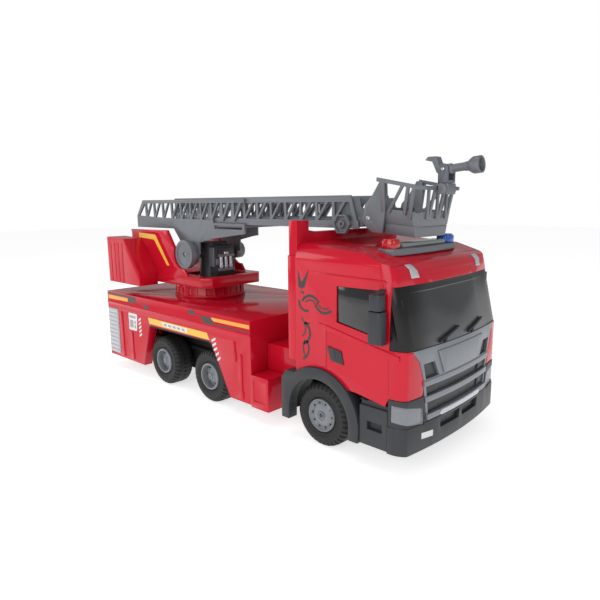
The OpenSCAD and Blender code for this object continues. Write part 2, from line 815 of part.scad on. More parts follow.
module ladder_base() {
    rail_z = 295.5;
    top_rail = 301.5;
    beam_top = 271;
    color("#7b8087") difference() {
        union() {
            ladder_side(ladder_y) {
                polygon([
                    [-313, 253], [-313, 274], [-308, 274], [-230, beam_top],
                    [-86.5, beam_top - 2], [-86.5, 264.5],
                    [-12, 264.5], [-12, 249.6], [-90, 239.8], [-126, 232], [-126, lift_z], [-168, lift_z],
                    [-172, 226], [-196, 253]
                ]);
                polygon([[-292, rail_z], [-12, rail_z], [-12, top_rail], [-292, top_rail]]);
                polygon([[-313, 274], [-307, 273], [-286, rail_z], [-286, top_rail], [-292, top_rail]]);
                lattice(-284, -12, beam_top - 3, rail_z + 0.5, 4.2, rung_pitch);
            }
            // ear bosses that turn on the shaft
            mirror([0, 1, 0]) cross_bar(lift_x, lift_z, disc_r, fin_y - 9, fin_y + 0.5);
            mirror([0, 1, 0]) cross_bar(lift_x, lift_z, disc_r * 0.78, ladder_y - rail_t, fin_y - 8);
            cross_bar(lift_x, lift_z, disc_r * 0.6, ladder_y - rail_t, fin_y + 0.5);
            // floor strips under the sliding sections
            for (x = [-306:rung_pitch / 2:-16])
                block([x, -ladder_y + 1, base_floor_z], [x + 5, ladder_y - 1, base_floor_z + 4]);
            both_sides() block([-306, 36, base_floor_z], [-12, ladder_y - 1, base_floor_z + 4]);
        }
        cross_bar(lift_x, lift_z, shaft_r + run_gap, -70, 70);
        both_sides() cross_bar(lift_x, lift_z, disc_r - 5, fin_y - 1, fin_y + 2);
        both_sides() block([-84, ladder_y - rail_t - 1, 255.5], [-17, ladder_y + 1, 261]);
        // the guide arm is on the right side only
        block([-80, ladder_y - rail_t - 1, 230], [0, ladder_y + 1, 264.4]);
    }
}

module ladder_middle() {
    x0 = -195;
    x1 = 184;
    beam_top = 272.5;
    rail_z = 295.2;
    color("#7b8087") {
        ladder_side(middle_y) {
            polygon([[x0, middle_z0], [x1 + 11, middle_z0], [x1 + 10, beam_top], [x0, beam_top]]);
            polygon([[x0, rail_z], [x1 + 1, rail_z], [x1 - 2, middle_z1], [x0, middle_z1]]);
            polygon([[x0, middle_z0], [x0 + 5, middle_z0], [x0 + 5, middle_z1], [x0, middle_z1]]);
            polygon([[x1 - 4, rail_z + 1], [x1 + 1, rail_z + 1], [x1 + 11, middle_z0], [x1 + 5, middle_z0]]);
            lattice(x0 + 6, x1 - 2, beam_top - 1, rail_z + 1, 4, rung_pitch);
        }
        for (x = [x0 + 8:rung_pitch / 2:x1 - 4])
            block([x, -middle_y + 1, middle_z0], [x + 4, middle_y - 1, middle_z0 + 2.4]);
    }
}

// Hexagonal sockets on the front end of the middle section
module hex_bosses() {
    x = 172;
    z = 268.2;
    color("#7b8087") both_sides() difference() {
        translate([x, middle_y, z]) rotate([-90, 0, 0]) cylinder(r = 13.5, h = 6, $fn = 6);
        translate([x, middle_y + 1.5, z]) rotate([-90, 0, 0]) cylinder(r = 11, h = 6, $fn = 6);
    }
    color("#7b8087") both_sides() difference() {
        cross_bar(x, z, 4.6, middle_y, middle_y + 5.4);
        cross_bar(x, z, 2, middle_y + 1, middle_y + 7);
    }
}

module ladder_top() {
    x0 = -110;
    x1 = 200;
    beam_top = 275;
    color("#71767c") difference() {
        union() {
            ladder_side(top_y) {
                polygon([[x0, top_z0], [x1, top_z0], [x1, beam_top], [x0, beam_top]]);
                polygon([[x0, 293], [x1 - 6, 293], [x1 - 6, top_z1], [x0, top_z1]]);
                polygon([[x0, top_z0], [x0 + 5, top_z0], [x0 + 5, top_z1], [x0, top_z1]]);
                polygon([[150, top_z0], [x1, top_z0], [x1 - 6, top_z1], [150, top_z1]]);
                lattice(x0 + 6, 150, beam_top - 1, 294, 3.6, rung_pitch);
            }
            both_sides() cross_bar(basket_x, basket_z, 8.5, top_y - rail_t, top_y);
            ladder_side(top_y) polygon([[190, top_z0], [206, 268.5], [206, 283.5], [190, 292]]);
            for (x = [x0 + 10:rung_pitch / 2:x1 - 20])
                cross_bar(x, top_z0 + 4, 1.9, -top_y + 1, top_y - 1);
        }
        cross_bar(basket_x, basket_z, 2.5 + run_gap, -50, 50);
    }
}

// ---- basket --------------------------------------------------------------

// Turns a shape that is drawn level into the basket's drooping rest pose
module droop() {
    translate([basket_x, 0, basket_z]) rotate([0, basket_droop, 0]) translate([-basket_x, 0, -basket_z])
        children();
}

// Outline of the tub seen from above, wider at the rim than at the floor
module tub_form(inset) {
    front = 277 - inset;
    low = 260 + inset;
    intersection() {
        across([[222 + inset, low], [272.5 - inset, low], [front, 289], [222 + inset, 289]], 100);
        along([[-34.5 + inset, low], [34.5 - inset, low], [39 - inset, 289], [-39 + inset, 289]], 200, 100);
        translate([0, 0, 250]) linear_extrude(60) polygon([
            [200, -60], [266 - inset / 2, -39.5 + inset], [front + 1, -29 + inset / 2],
            [front + 1, 29 - inset / 2], [266 - inset / 2, 39.5 - inset], [200, 60]
        ]);
    }
}

// Basket floor, low walls and the two cheeks that swing on the ladder's end
module basket_tub() {
    color("#7b8087") difference() {
        union() {
            droop() difference() {
                tub_form(0);
                difference() {
                    tub_form(2.6);
                    block([200, -60, 240], [300, 60, 262.6]);
                }
                block([224.6, -36.4, 288], [274, 36.4, 292]);
                // groove round the outside
                difference() {
                    block([215, -60, 272], [300, 60, 273]);
                    tub_form(0.7);
                }
            }
            droop() both_sides() translate([0, 39.9, 0]) across([
                [203, 292], [201, 276], [206, 266], [216, 260.5], [231, 260.5], [233, 300],
                [229.5, 322], [222, 322], [212, 303]
            ], 3);
        }
        cross_bar(basket_x, basket_z, 2.5, -50, 50);
    }
}

// Slanted bar of a basket frame, from the foot a to the head b
module strut(a, b, w) {
    polygon([[a[0], a[1]], [a[0] + w, a[1]], [b[0] + w, b[1]], [b[0], b[1]]]);
}

// Rails round the basket with their posts and slanted struts
module basket_rails() {
    foot = 284.5;
    flare = 10;
    color("#7b8087") droop() {
        // side frames lean outwards
        both_sides() translate([0, 40.2, foot]) rotate([-flare, 0, 0]) translate([0, 0, -foot])
            rotate([90, 0, 0]) linear_extrude(2.4, center = true) {
                polygon([[220.8, 320.2], [273, 315.5], [273, 319.4], [220.8, 324.6]]);
                strut([227, foot], [225, 322], 6);
                strut([234, foot], [254, 318.5], 4);
                strut([256, foot], [261, 318], 4);
                strut([262.5, foot - 4], [268.4, 317.5], 4);
            }
        // front frame leans forwards
        translate([277.5, 0, foot]) rotate([0, 2, 0]) translate([0, 0, -foot])
            rotate([90, 0, 90]) linear_extrude(2.4, center = true) {
                polygon([[-40, 314.2], [40, 314.2], [40, 318.6], [-40, 318.6]]);
                for (y = [-21, 0, 21]) {
                    strut([y - 4, foot - 3], [y - 8.5, 316], 4);
                    strut([y - 0.6, foot - 3], [y + 5.5, 316], 4);
                }
            }
        // corner pieces of the rail
        both_sides() translate([0, 0, 314.4]) linear_extrude(4) polygon([
            [269, 43.6], [269, 48], [272, 48], [281, 39.6], [281, 34], [277.3, 34], [277.3, 37.5]
        ]);
    }
}

module basket_pin() {
    color("#b9bcc0") cross_bar(basket_x, basket_z, 2.5, -42, 42);
}

// ---- water cannon --------------------------------------------------------

// Clamp on the front rail, with the socket for the swivel
module monitor_foot() {
    color("#7b8087") difference() {
        union() {
            block([cannon_x - 11, -9, 303], [cannon_x + 7, 9, 315]);
            cross_bar(cannon_x, 309, 6.2, -13, 13);
        }
        translate([cannon_x, 0, 304]) cylinder(r = 2.5, h = 20, $fn = 48);
        // hooked over the front rail
        droop() block([260, -60, 290], [281.1, 60, 318.8]);
    }
}

// Fork that turns on the foot and holds the nozzle
module monitor_swivel() {
    color("#71767c") difference() {
        union() {
            translate([cannon_x, 0, 306]) cylinder(r = 2.5 - run_gap, h = 12, $fn = 48);
            translate([cannon_x, 0, 315.4]) cylinder(r = 9.5, h = 3, $fn = 48);
            both_sides() block([cannon_x - 6, 6.2, 316], [cannon_x + 6, 9.2, cannon_z]);
            both_sides() cross_bar(cannon_x, cannon_z, 6, 6.2, 9.2);
        }
        cross_bar(cannon_x, cannon_z, 2, -20, 20);
    }
}

module monitor_pin() {
    color("#b9bcc0") cross_bar(cannon_x, cannon_z, 2, -10.5, 10.5);
}

// Barrel with a flared muzzle and the aiming handle
module monitor_nozzle() {
    reach = muzzle_x - cannon_x;
    color("#7b8087") translate([cannon_x, 0, cannon_z]) rotate([0, -cannon_lift, 0]) difference() {
        union() {
            translate([-10, 0, 0]) rotate([0, 90, 0]) rotate_extrude() polygon([
                [0, 0], [5, 0], [5.8, 2], [5.8, 16], [4.6, 18], [4.6, 32], [5.2, 33], [5.2, 36], [8.6, 41],
                [9.4, 43], [9.4, reach + 9.2], [0, reach + 9.2]
            ]);
            across([[-10, -3], [-4, -3], [-10, 15.5], [-20, 16.5], [-24, 13], [-15, 10]], 11.6);
        }
        cross_bar(0, 0, 2 + run_gap, -20, 20);
        translate([20, 0, 0]) rotate([0, 90, 0]) cylinder(r = 3, h = 40, $fn = 32);
        translate([reach - 6, 0, 0]) rotate([0, 90, 0]) cylinder(r = 7.6, h = 20, $fn = 48);
    }
}

chassis();
rear_body();
rear_locker();
link_box();
deck_ring();
shutter_right();
shutter_left();
rear_mudguards();
rear_bumper();
tail_lamps();
cab_shell();
cab_bulkhead();
windscreen();
side_window_right();
side_window_left();
mirror_right();
mirror_left();
door_handles();
grille();
grille_mesh();
front_bumper();
headlight_right();
headlight_left();
fender_right();
fender_left();
skirt_right();
skirt_left();
roof_lamps();
light_bar_base();
beacon_red();
beacon_blue();
light_bar_lens();
wipers();
chassis_screws();
axle_front();
axle_middle();
axle_rear();
tyres_front();
tyres_middle();
tyres_rear();
rims_front();
rims_middle();
rims_rear();
turntable();
counterweight();
turntable_retainer();
lift_pedestal();
lift_shaft();
ladder_base();
ladder_middle();
hex_bosses();
ladder_top();
basket_tub();
basket_rails();
basket_pin();
monitor_foot();
monitor_swivel();
monitor_pin();
monitor_nozzle();
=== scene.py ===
"""Looks of a large toy fire engine with a turntable ladder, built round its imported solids."""
import json
import math

import bmesh
import bpy
from mathutils import Matrix, Vector


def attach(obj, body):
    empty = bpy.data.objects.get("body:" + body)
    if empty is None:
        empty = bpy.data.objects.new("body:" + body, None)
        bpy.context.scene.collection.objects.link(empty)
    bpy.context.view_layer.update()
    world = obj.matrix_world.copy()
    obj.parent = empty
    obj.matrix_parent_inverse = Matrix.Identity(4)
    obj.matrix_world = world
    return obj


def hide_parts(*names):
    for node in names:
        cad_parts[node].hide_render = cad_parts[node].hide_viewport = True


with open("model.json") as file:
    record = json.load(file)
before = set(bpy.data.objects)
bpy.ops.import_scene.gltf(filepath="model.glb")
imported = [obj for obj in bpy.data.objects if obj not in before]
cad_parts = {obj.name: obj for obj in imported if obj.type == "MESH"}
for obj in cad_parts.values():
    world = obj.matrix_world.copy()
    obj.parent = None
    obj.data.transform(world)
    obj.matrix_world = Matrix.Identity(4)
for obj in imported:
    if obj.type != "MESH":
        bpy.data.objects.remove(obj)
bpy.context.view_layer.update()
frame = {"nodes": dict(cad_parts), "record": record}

bl_info = {
    "name": "Toy Fire Engine",
    "version": (1, 0, 0),
    "blender": (4, 5, 0),
    "location": "3D View > Sidebar > Fire Engine",
    "description": "Panels, trim, stickers, wheels and lamps of a toy fire engine, with its stage",
    "category": "Add Mesh",
}

# Places and sizes are in millimetres, and NOSE_BOW, the radius of the bowed nose, is in metres.
MM = 0.001
NOSE_X = 317
NOSE_BOW = 0.690
SIDE = 109.5
CAB_SIDE = 110.5
FIN_SIDE = 63.0
DRIVE_X = -114
MUDGUARD_LIP_X = -186.2
SCREEN_FOOT_Z, SCREEN_HEAD_Z = 141, 208
AXLES = {"front": 190, "middle": -31, "rear": -153}
AXLE_Z = 40
TYRE_Y = 89.5
RIM_FACE_Y = 86
SLOT_DEPTH = 2.4
SLOT_OF = {part["node"]: part["material_slot"] for part in frame["record"]["subparts"]}
BODY_OF = {node: body for body, nodes in frame["record"]["behaviour"]["bodies"].items() for node in nodes}


# ---- shared helpers ---------------------------------------------------------

def deselect_all():
    """Object mode with nothing selected, because an operator acts on all that is selected."""
    if bpy.context.object and bpy.context.object.mode != "OBJECT":
        bpy.ops.object.mode_set(mode="OBJECT")
    bpy.ops.object.select_all(action="DESELECT")


def activate(obj):
    """Makes obj the only selected object and the active one."""
    deselect_all()
    obj.select_set(True)
    bpy.context.view_layer.objects.active = obj


def edit(obj):
    """Edit mode on obj alone, with nothing selected."""
    activate(obj)
    bpy.ops.object.mode_set(mode="EDIT")
    bpy.ops.mesh.select_mode(type="VERT")
    bpy.ops.mesh.select_all(action="DESELECT")


def leave_edit():
    bpy.ops.object.mode_set(mode="OBJECT")


def pick_faces(obj, test):
    """Selects the faces whose middle and normal pass the test; used inside edit mode."""
    bpy.ops.mesh.select_mode(type="FACE")
    bm = bmesh.from_edit_mesh(obj.data)
    bm.normal_update()
    for face in bm.faces:
        face.select_set(bool(test(face.calc_center_median(), face.normal)))
    bmesh.update_edit_mesh(obj.data)


def pick_verts(obj, test):
    """Selects the vertices that pass the test; used inside edit mode."""
    bpy.ops.mesh.select_mode(type="VERT")
    bm = bmesh.from_edit_mesh(obj.data)
    for vert in bm.verts:
        vert.select_set(bool(test(vert.co)))
    bm.select_flush_mode()
    bmesh.update_edit_mesh(obj.data)


def settle(obj):
    """Puts the object's place, turn and size into its mesh."""
    activate(obj)
    bpy.ops.object.transform_apply(location=True, rotation=True, scale=True)
    return obj


def apply_modifier(obj, kind, **values):
    """Adds one modifier with the given values and applies it."""
    activate(obj)
    modifier = obj.modifiers.new(kind.title(), kind)
    for key, value in values.items():
        setattr(modifier, key, value)
    bpy.ops.object.modifier_apply(modifier=modifier.name)
    return obj


def bevel(obj, width, segments=2, angle=30):
    """Rounds every edge sharper than the angle, by a width in millimetres."""
    return apply_modifier(
        obj, "BEVEL", width=width * MM, segments=segments, limit_method="ANGLE",
        angle_limit=math.radians(angle), use_clamp_overlap=True, harden_normals=False,
    )


def smooth(obj, angle=32):
    """Smooth shading across the edges that are flatter than the angle."""
    activate(obj)
    bpy.ops.object.shade_smooth_by_angle(angle=math.radians(angle))
    return obj


def finish_piece(obj, name, body, material):
    """Names a new piece, gives it its material and puts it on its body."""
    obj.name = name
    obj.data.name = name
    obj.data.materials.clear()
    obj.data.materials.append(material)
    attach(obj, body)
    return obj


def forget_parent(piece):
    """Puts a fresh copy in the scene, free of the original's parent and custom properties."""
    for key in list(piece.keys()):
        del piece[key]
    piece.parent = None
    bpy.context.scene.collection.objects.link(piece)


def copy_of_node(node):
    """A merged copy of a CAD node's mesh, ready to be refined."""
    source = frame["nodes"][node]
    piece = source.copy()
    piece.data = source.data.copy()
    forget_parent(piece)
    piece.matrix_world = Matrix.Identity(4)
    edit(piece)
    bpy.ops.mesh.select_all(action="SELECT")
    bpy.ops.mesh.remove_doubles(threshold=0.00001)
    bpy.ops.mesh.dissolve_limited(angle_limit=math.radians(0.4))
    leave_edit()
    return piece


def refined(node, width, segments=2, angle=30, shade=32):
    """A copy of the node with its sharp edges softened, standing for it."""
    piece = copy_of_node(node)
    if width:
        bevel(piece, width, segments, angle)
    smooth(piece, shade)
    piece.name = "soft_" + node
    piece.data.materials.clear()
    piece.data.materials.append(material_for(SLOT_OF[node]))
    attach(piece, BODY_OF[node])
    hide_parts(node)
    return piece


# The two directions across each axis and the axis itself, and the turn that faces a plane along it.
AXES = {"X": (1, 2, 0), "Y": (0, 2, 1), "Z": (0, 1, 2)}
TURN = {"X": (0, math.pi / 2, 0), "Y": (math.pi / 2, 0, 0), "Z": (0, 0, 0)}


def point(axis, first, second, third):
    """A point in metres, from two millimetre values across the axis and one along it."""
    a, b, c = AXES[axis]
    place = Vector((0, 0, 0))
    place[a], place[b], place[c] = first * MM, second * MM, third * MM
    return place


def sheet_of(outline, axis, level):
    """A flat face with a convex outline, cut from a plane by bisecting along each side."""
    spans = [(min(v), max(v)) for v in zip(*outline)]
    middle = point(axis, sum(spans[0]) / 2, sum(spans[1]) / 2, level)
    size = 2.5 * max(high - low for low, high in spans) * MM
    deselect_all()
    bpy.ops.mesh.primitive_plane_add(size=size, location=middle, rotation=TURN[axis])
    obj = settle(bpy.context.object)
    edit(obj)
    a, b, _ = AXES[axis]
    across, up = (sum(values) / len(outline) for values in zip(*outline))
    inside = point(axis, across, up, level)
    for start, end in zip(outline, outline[1:] + outline[:1]):
        corner = point(axis, *start, level)
        along = point(axis, *end, level) - corner
        outward = Vector((0, 0, 0))
        outward[a], outward[b] = along[b], -along[a]
        if outward.dot(inside - corner) > 0:
            outward.negate()
        bpy.ops.mesh.select_all(action="SELECT")
        bpy.ops.mesh.bisect(
            plane_co=corner, plane_no=outward.normalized(), clear_outer=True, threshold=1e-7)
    leave_edit()
    return obj


def draw_out(obj, move):
    """Extrudes everything by a move in metres and turns the faces outwards."""
    edit(obj)
    bpy.ops.mesh.select_all(action="SELECT")
    bpy.ops.mesh.extrude_region_move(TRANSFORM_OT_translate={"value": move})
    bpy.ops.mesh.select_all(action="SELECT")
    bpy.ops.mesh.normals_make_consistent(inside=False)
    leave_edit()
    return obj


def slab(outline, axis, start, end):
    """A convex outline drawn out along an axis from start to end, in millimetres."""
    return draw_out(sheet_of(outline, axis, start), point(axis, 0, 0, end - start))


def joined(pieces):
    """Joins the pieces into the first of them."""
    deselect_all()
    for piece in pieces:
        piece.select_set(True)
    bpy.context.view_layer.objects.active = pieces[0]
    if len(pieces) > 1:
        bpy.ops.object.join()
    return bpy.context.view_layer.objects.active


def twin(obj):
    """The same piece on the other side, with its own mesh."""
    other = obj.copy()
    other.data = obj.data.copy()
    forget_parent(other)
    other.matrix_world = Matrix.Scale(-1, 4, Vector((0, 1, 0)))
    settle(other)
    edit(other)
    bpy.ops.mesh.select_all(action="SELECT")
    bpy.ops.mesh.normals_make_consistent(inside=False)
    leave_edit()
    return other


def lathe(profile, centre, segments):
    """A ring about an axis along Y, from a closed profile of radius and place along Y, in millimetres."""
    deselect_all()
    radius, place = profile[0]
    bpy.ops.mesh.primitive_circle_add(
        vertices=segments, radius=radius * MM, fill_type="NOTHING", rotation=(math.pi / 2, 0, 0),
        location=(centre[0] * MM, (centre[1] + place) * MM, centre[2] * MM),
    )
    obj = settle(bpy.context.object)
    edit(obj)
    bpy.ops.mesh.select_all(action="SELECT")
    for wide, along in profile[1:] + profile[:1]:
        bpy.ops.mesh.extrude_region_move(TRANSFORM_OT_translate={"value": (0, (along - place) * MM, 0)})
        bpy.ops.transform.resize(
            value=(wide / radius, 1, wide / radius),
            center_override=(centre[0] * MM, (centre[1] + along) * MM, centre[2] * MM),
        )
        radius, place = wide, along
    bpy.ops.mesh.select_all(action="SELECT")
    bpy.ops.mesh.remove_doubles(threshold=0.00001)
    bpy.ops.mesh.normals_make_consistent(inside=False)
    leave_edit()
    return obj


def bowed(obj, step):
    """Cuts the piece into strips across the vehicle and sets them back to follow the bowed nose."""
    edit(obj)
    low = min(v.co.y for v in obj.data.vertices) / MM
    high = max(v.co.y for v in obj.data.vertices) / MM
    y = math.ceil(low / step) * step
    while y < high:
        bpy.ops.mesh.select_all(action="SELECT")
        bpy.ops.mesh.bisect(plane_co=(0, y * MM, 0), plane_no=(0, 1, 0))
        y += step
    bm = bmesh.from_edit_mesh(obj.data)
    for vert in bm.verts:
        vert.co.x += math.sqrt(NOSE_BOW**2 - vert.co.y**2) - NOSE_BOW
    bmesh.update_edit_mesh(obj.data)
    leave_edit()
    return obj


def arc_ribbon(centre, radius, start, sweep, width, level, thick):
    """A curved stroke on the vehicle's side: a short edge spun about a point, then thickened."""
    deselect_all()
    here = point("Y", centre[0] + radius, centre[1], level)
    bpy.ops.mesh.primitive_plane_add(size=width * MM, location=here, rotation=TURN["Y"])
    obj = settle(bpy.context.object)
    edit(obj)
    middle = here.z
    pick_verts(obj, lambda co: co.z > middle)
    bpy.ops.mesh.delete(type="VERT")
    bpy.ops.mesh.select_all(action="SELECT")
    bpy.ops.transform.translate(value=(0, 0, width / 2 * MM))
    hub = point("Y", centre[0], centre[1], level)
    bpy.ops.mesh.select_all(action="SELECT")
    bpy.ops.transform.rotate(value=math.radians(start), orient_axis="Y", center_override=hub)
    bpy.ops.mesh.spin(steps=14, angle=math.radians(sweep), center=hub, axis=(0, 1, 0))
    leave_edit()
    return draw_out(obj, (0, thick * MM, 0))


# ---- materials ---------------------------------------------------------------

FINISH = {
    # slot: colour, roughness, coat, grain size, grain height, metallic
    "red": ((0.56, 0.006, 0.024), 0.16, 0.15, 90, 0.02, 0.0),
    "dark_trim": ((0.035, 0.038, 0.043), 0.42, 0.0, 900, 0.08, 0.0),
    "black_plastic": ((0.012, 0.012, 0.013), 0.5, 0.0, 900, 0.08, 0.0),
    "ladder_grey": ((0.155, 0.170, 0.190), 0.42, 0.0, 700, 0.05, 0.15),
    "inner_grey": ((0.115, 0.128, 0.147), 0.42, 0.0, 700, 0.05, 0.15),
    "pale_grey": ((0.50, 0.53, 0.56), 0.35, 0.0, 600, 0.04, 0.2),
    "dark_screen": ((0.008, 0.009, 0.010), 0.12, 0.5, 60, 0.01, 0.0),
    "silver_grey": ((0.21, 0.23, 0.255), 0.33, 0.0, 600, 0.03, 0.35),
    "lamp_lens": ((0.20, 0.215, 0.235), 0.14, 0.3, 200, 0.02, 0.2),
    "tail_red": ((0.30, 0.008, 0.010), 0.15, 0.5, 200, 0.02, 0.0),
    "beacon_red": ((0.50, 0.002, 0.004), 0.10, 0.5, 200, 0.02, 0.0),
    "beacon_blue": ((0.004, 0.10, 0.52), 0.10, 0.5, 200, 0.02, 0.0),
    "smoke_lens": ((0.20, 0.21, 0.22), 0.12, 0.4, 200, 0.02, 0.0),
    "steel": ((0.56, 0.57, 0.58), 0.28, 0.0, 800, 0.03, 1.0),
    "tyre": ((0.017, 0.017, 0.018), 0.55, 0.0, 500, 0.10, 0.0),
    "rim_grey": ((0.20, 0.215, 0.235), 0.38, 0.0, 600, 0.04, 0.15),
}
SPECULAR = {"red": 0.26, "dark_trim": 0.35, "black_plastic": 0.3, "tyre": 0.35, "lamp_lens": 0.4}
made = {}


def new_group(name, inputs, outputs):
    """An empty shader group with named sockets, and its two end nodes."""
    tree = bpy.data.node_groups.new(name, "ShaderNodeTree")
    for label, kind, value in inputs:
        socket = tree.interface.new_socket(name=label, in_out="INPUT", socket_type=kind)
        socket.default_value = value
    for label, kind in outputs:
        tree.interface.new_socket(name=label, in_out="OUTPUT", socket_type=kind)
    return tree, tree.nodes.new("NodeGroupInput"), tree.nodes.new("NodeGroupOutput")


def moulded_surface_group():
    """Colour drift, roughness drift and fine height of a moulded plastic skin."""
    if "moulded_surface" in made:
        return made["moulded_surface"]
    tree, start, end = new_group(
        "Moulded surface",
        [("Colour", "NodeSocketColor", (0.5, 0.5, 0.5, 1)), ("Roughness", "NodeSocketFloat", 0.4),
         ("Grain size", "NodeSocketFloat", 500.0), ("Drift", "NodeSocketFloat", 0.1)],
        [("Colour", "NodeSocketColor"), ("Roughness", "NodeSocketFloat"), ("Height", "NodeSocketFloat")],
    )
    add, link = tree.nodes.new, tree.links.new
    where = add("ShaderNodeTexCoord")
    broad = add("ShaderNodeTexNoise")
    broad.inputs["Scale"].default_value = 14
    broad.inputs["Detail"].default_value = 3
    fine = add("ShaderNodeTexNoise")
    fine.inputs["Detail"].default_value = 2
    link(where.outputs["Object"], broad.inputs["Vector"])
    link(where.outputs["Object"], fine.inputs["Vector"])
    link(start.outputs["Grain size"], fine.inputs["Scale"])
    centre = add("ShaderNodeMath")
    centre.operation = "SUBTRACT"
    centre.inputs[1].default_value = 0.5
    link(broad.outputs["Fac"], centre.inputs[0])
    amount = add("ShaderNodeMath")
    amount.operation = "MULTIPLY"
    link(centre.outputs[0], amount.inputs[0])
    link(start.outputs["Drift"], amount.inputs[1])
    value = add("ShaderNodeMath")
    value.operation = "ADD"
    value.inputs[1].default_value = 1.0
    link(amount.outputs[0], value.inputs[0])
    tint = add("ShaderNodeHueSaturation")
    link(value.outputs[0], tint.inputs["Value"])
    link(start.outputs["Colour"], tint.inputs["Color"])
    rough = add("ShaderNodeMath")
    rough.operation = "MULTIPLY_ADD"
    link(centre.outputs[0], rough.inputs[0])
    rough.inputs[1].default_value = 0.12
    link(start.outputs["Roughness"], rough.inputs[2])
    link(tint.outputs[0], end.inputs["Colour"])
    link(rough.outputs[0], end.inputs["Roughness"])
    link(fine.outputs["Fac"], end.inputs["Height"])
    made["moulded_surface"] = tree
    return tree


def plastic(name, colour, roughness, coat, grain, height, metallic):
    """A moulded plastic, or a metal, on the shared surface group."""
    material = bpy.data.materials.new(name)
    material.use_nodes = True
    nodes, link = material.node_tree.nodes, material.node_tree.links.new
    shader = nodes["Principled BSDF"]
    skin = nodes.new("ShaderNodeGroup")
    skin.node_tree = moulded_surface_group()
    skin.inputs["Colour"].default_value = (*colour, 1)
    skin.inputs["Roughness"].default_value = roughness
    skin.inputs["Grain size"].default_value = grain
    skin.inputs["Drift"].default_value = 0.12
    bump = nodes.new("ShaderNodeBump")
    bump.inputs["Strength"].default_value = height
    bump.inputs["Distance"].default_value = 0.0004
    link(skin.outputs["Colour"], shader.inputs["Base Color"])
    link(skin.outputs["Roughness"], shader.inputs["Roughness"])
    link(skin.outputs["Height"], bump.inputs["Height"])
    link(bump.outputs["Normal"], shader.inputs["Normal"])
    shader.inputs["Coat Weight"].default_value = coat
    shader.inputs["Coat Roughness"].default_value = 0.06
    shader.inputs["Metallic"].default_value = metallic
    return material


def material_for(slot):
    """The material of a slot, built once; the bodywork's red comes from the panel."""
    if slot not in made:
        colour, *rest = FINISH[slot]
        if slot == "red":
            colour = settings().red
        made[slot] = plastic(slot.replace("_", " "), colour, *rest)
        if slot in SPECULAR:
            shader = made[slot].node_tree.nodes["Principled BSDF"]
            shader.inputs["Specular IOR Level"].default_value = SPECULAR[slot]
    return made[slot]


EXTRA = {
    # colour, roughness, coat, grain size, grain height, metallic
    "sticker yellow": ((0.82, 0.50, 0.045), 0.32, 0.2, 300, 0.02, 0.0),
    "sticker orange": ((0.90, 0.36, 0.02), 0.32, 0.2, 300, 0.02, 0.0),
    "sticker black": ((0.030, 0.024, 0.027), 0.36, 0.1, 300, 0.02, 0.0),
    "sticker white": ((0.72, 0.72, 0.72), 0.34, 0.2, 300, 0.02, 0.0),
    "sticker grey": ((0.32, 0.33, 0.35), 0.36, 0.1, 300, 0.02, 0.0),
    "bright trim": ((0.50, 0.53, 0.57), 0.22, 0.4, 300, 0.02, 0.35),
    "seam shadow": ((0.010, 0.010, 0.011), 0.6, 0.0, 500, 0.05, 0.0),
    "red seam": ((0.20, 0.002, 0.006), 0.45, 0.0, 500, 0.03, 0.0),
}


def extra(name):
    """The material of a sticker, seam or bright trim, built once; the yellow comes from the panel."""
    if name not in made:
        colour, *rest = EXTRA[name]
        if name == "sticker yellow":
            colour = settings().band
        made[name] = plastic(name, colour, *rest)
    return made[name]


def crossed_wires_group():
    """Mask of two sets of slanted wires, read across the vehicle's front."""
    if "wires" in made:
        return made["wires"]
    tree, start, end = new_group(
        "Crossed wires", [("Wires per metre", "NodeSocketFloat", 260.0)], [("Mask", "NodeSocketFloat")],
    )
    add, link = tree.nodes.new, tree.links.new
    where = add("ShaderNodeTexCoord")
    parts = add("ShaderNodeSeparateXYZ")
    link(where.outputs["Object"], parts.inputs[0])
    rows = []
    for sign in (1, -1):
        mix = add("ShaderNodeMath")
        mix.operation = "MULTIPLY_ADD"
        link(parts.outputs["Z"], mix.inputs[0])
        mix.inputs[1].default_value = sign
        link(parts.outputs["Y"], mix.inputs[2])
        scale = add("ShaderNodeMath")
        scale.operation = "MULTIPLY"
        link(mix.outputs[0], scale.inputs[0])
        link(start.outputs["Wires per metre"], scale.inputs[1])
        wave = add("ShaderNodeMath")
        wave.operation = "PINGPONG"
        wave.inputs[1].default_value = 0.5
        link(scale.outputs[0], wave.inputs[0])
        wire = add("ShaderNodeMath")
        wire.operation = "GREATER_THAN"
        wire.inputs[1].default_value = 0.34
        link(wave.outputs[0], wire.inputs[0])
        rows.append(wire)
    both = add("ShaderNodeMath")
    both.operation = "MAXIMUM"
    link(rows[0].outputs[0], both.inputs[0])
    link(rows[1].outputs[0], both.inputs[1])
    link(both.outputs[0], end.inputs["Mask"])
    made["wires"] = tree
    return tree


def mesh_material():
    """Black plastic net: grey wires, with painted shade, near black, in the holes between them."""
    if "net" in made:
        return made["net"]
    material = plastic("black net", (0.03, 0.032, 0.035), 0.45, 0.0, 600, 0.05, 0.0)
    nodes, link = material.node_tree.nodes, material.node_tree.links.new
    shader = nodes["Principled BSDF"]
    wires = nodes.new("ShaderNodeGroup")
    wires.node_tree = crossed_wires_group()
    tint = nodes.new("ShaderNodeMix")
    tint.data_type = "RGBA"
    # Painted shade: the holes between the wires are near black.
    tint.inputs[6].default_value = (0.004, 0.004, 0.004, 1)
    tint.inputs[7].default_value = (0.075, 0.08, 0.087, 1)
    link(wires.outputs["Mask"], tint.inputs[0])
    link(tint.outputs[2], shader.inputs["Base Color"])
    link(wires.outputs["Mask"], nodes["Bump"].inputs["Height"])
    nodes["Bump"].inputs["Strength"].default_value = 0.6
    made["net"] = material
    return material


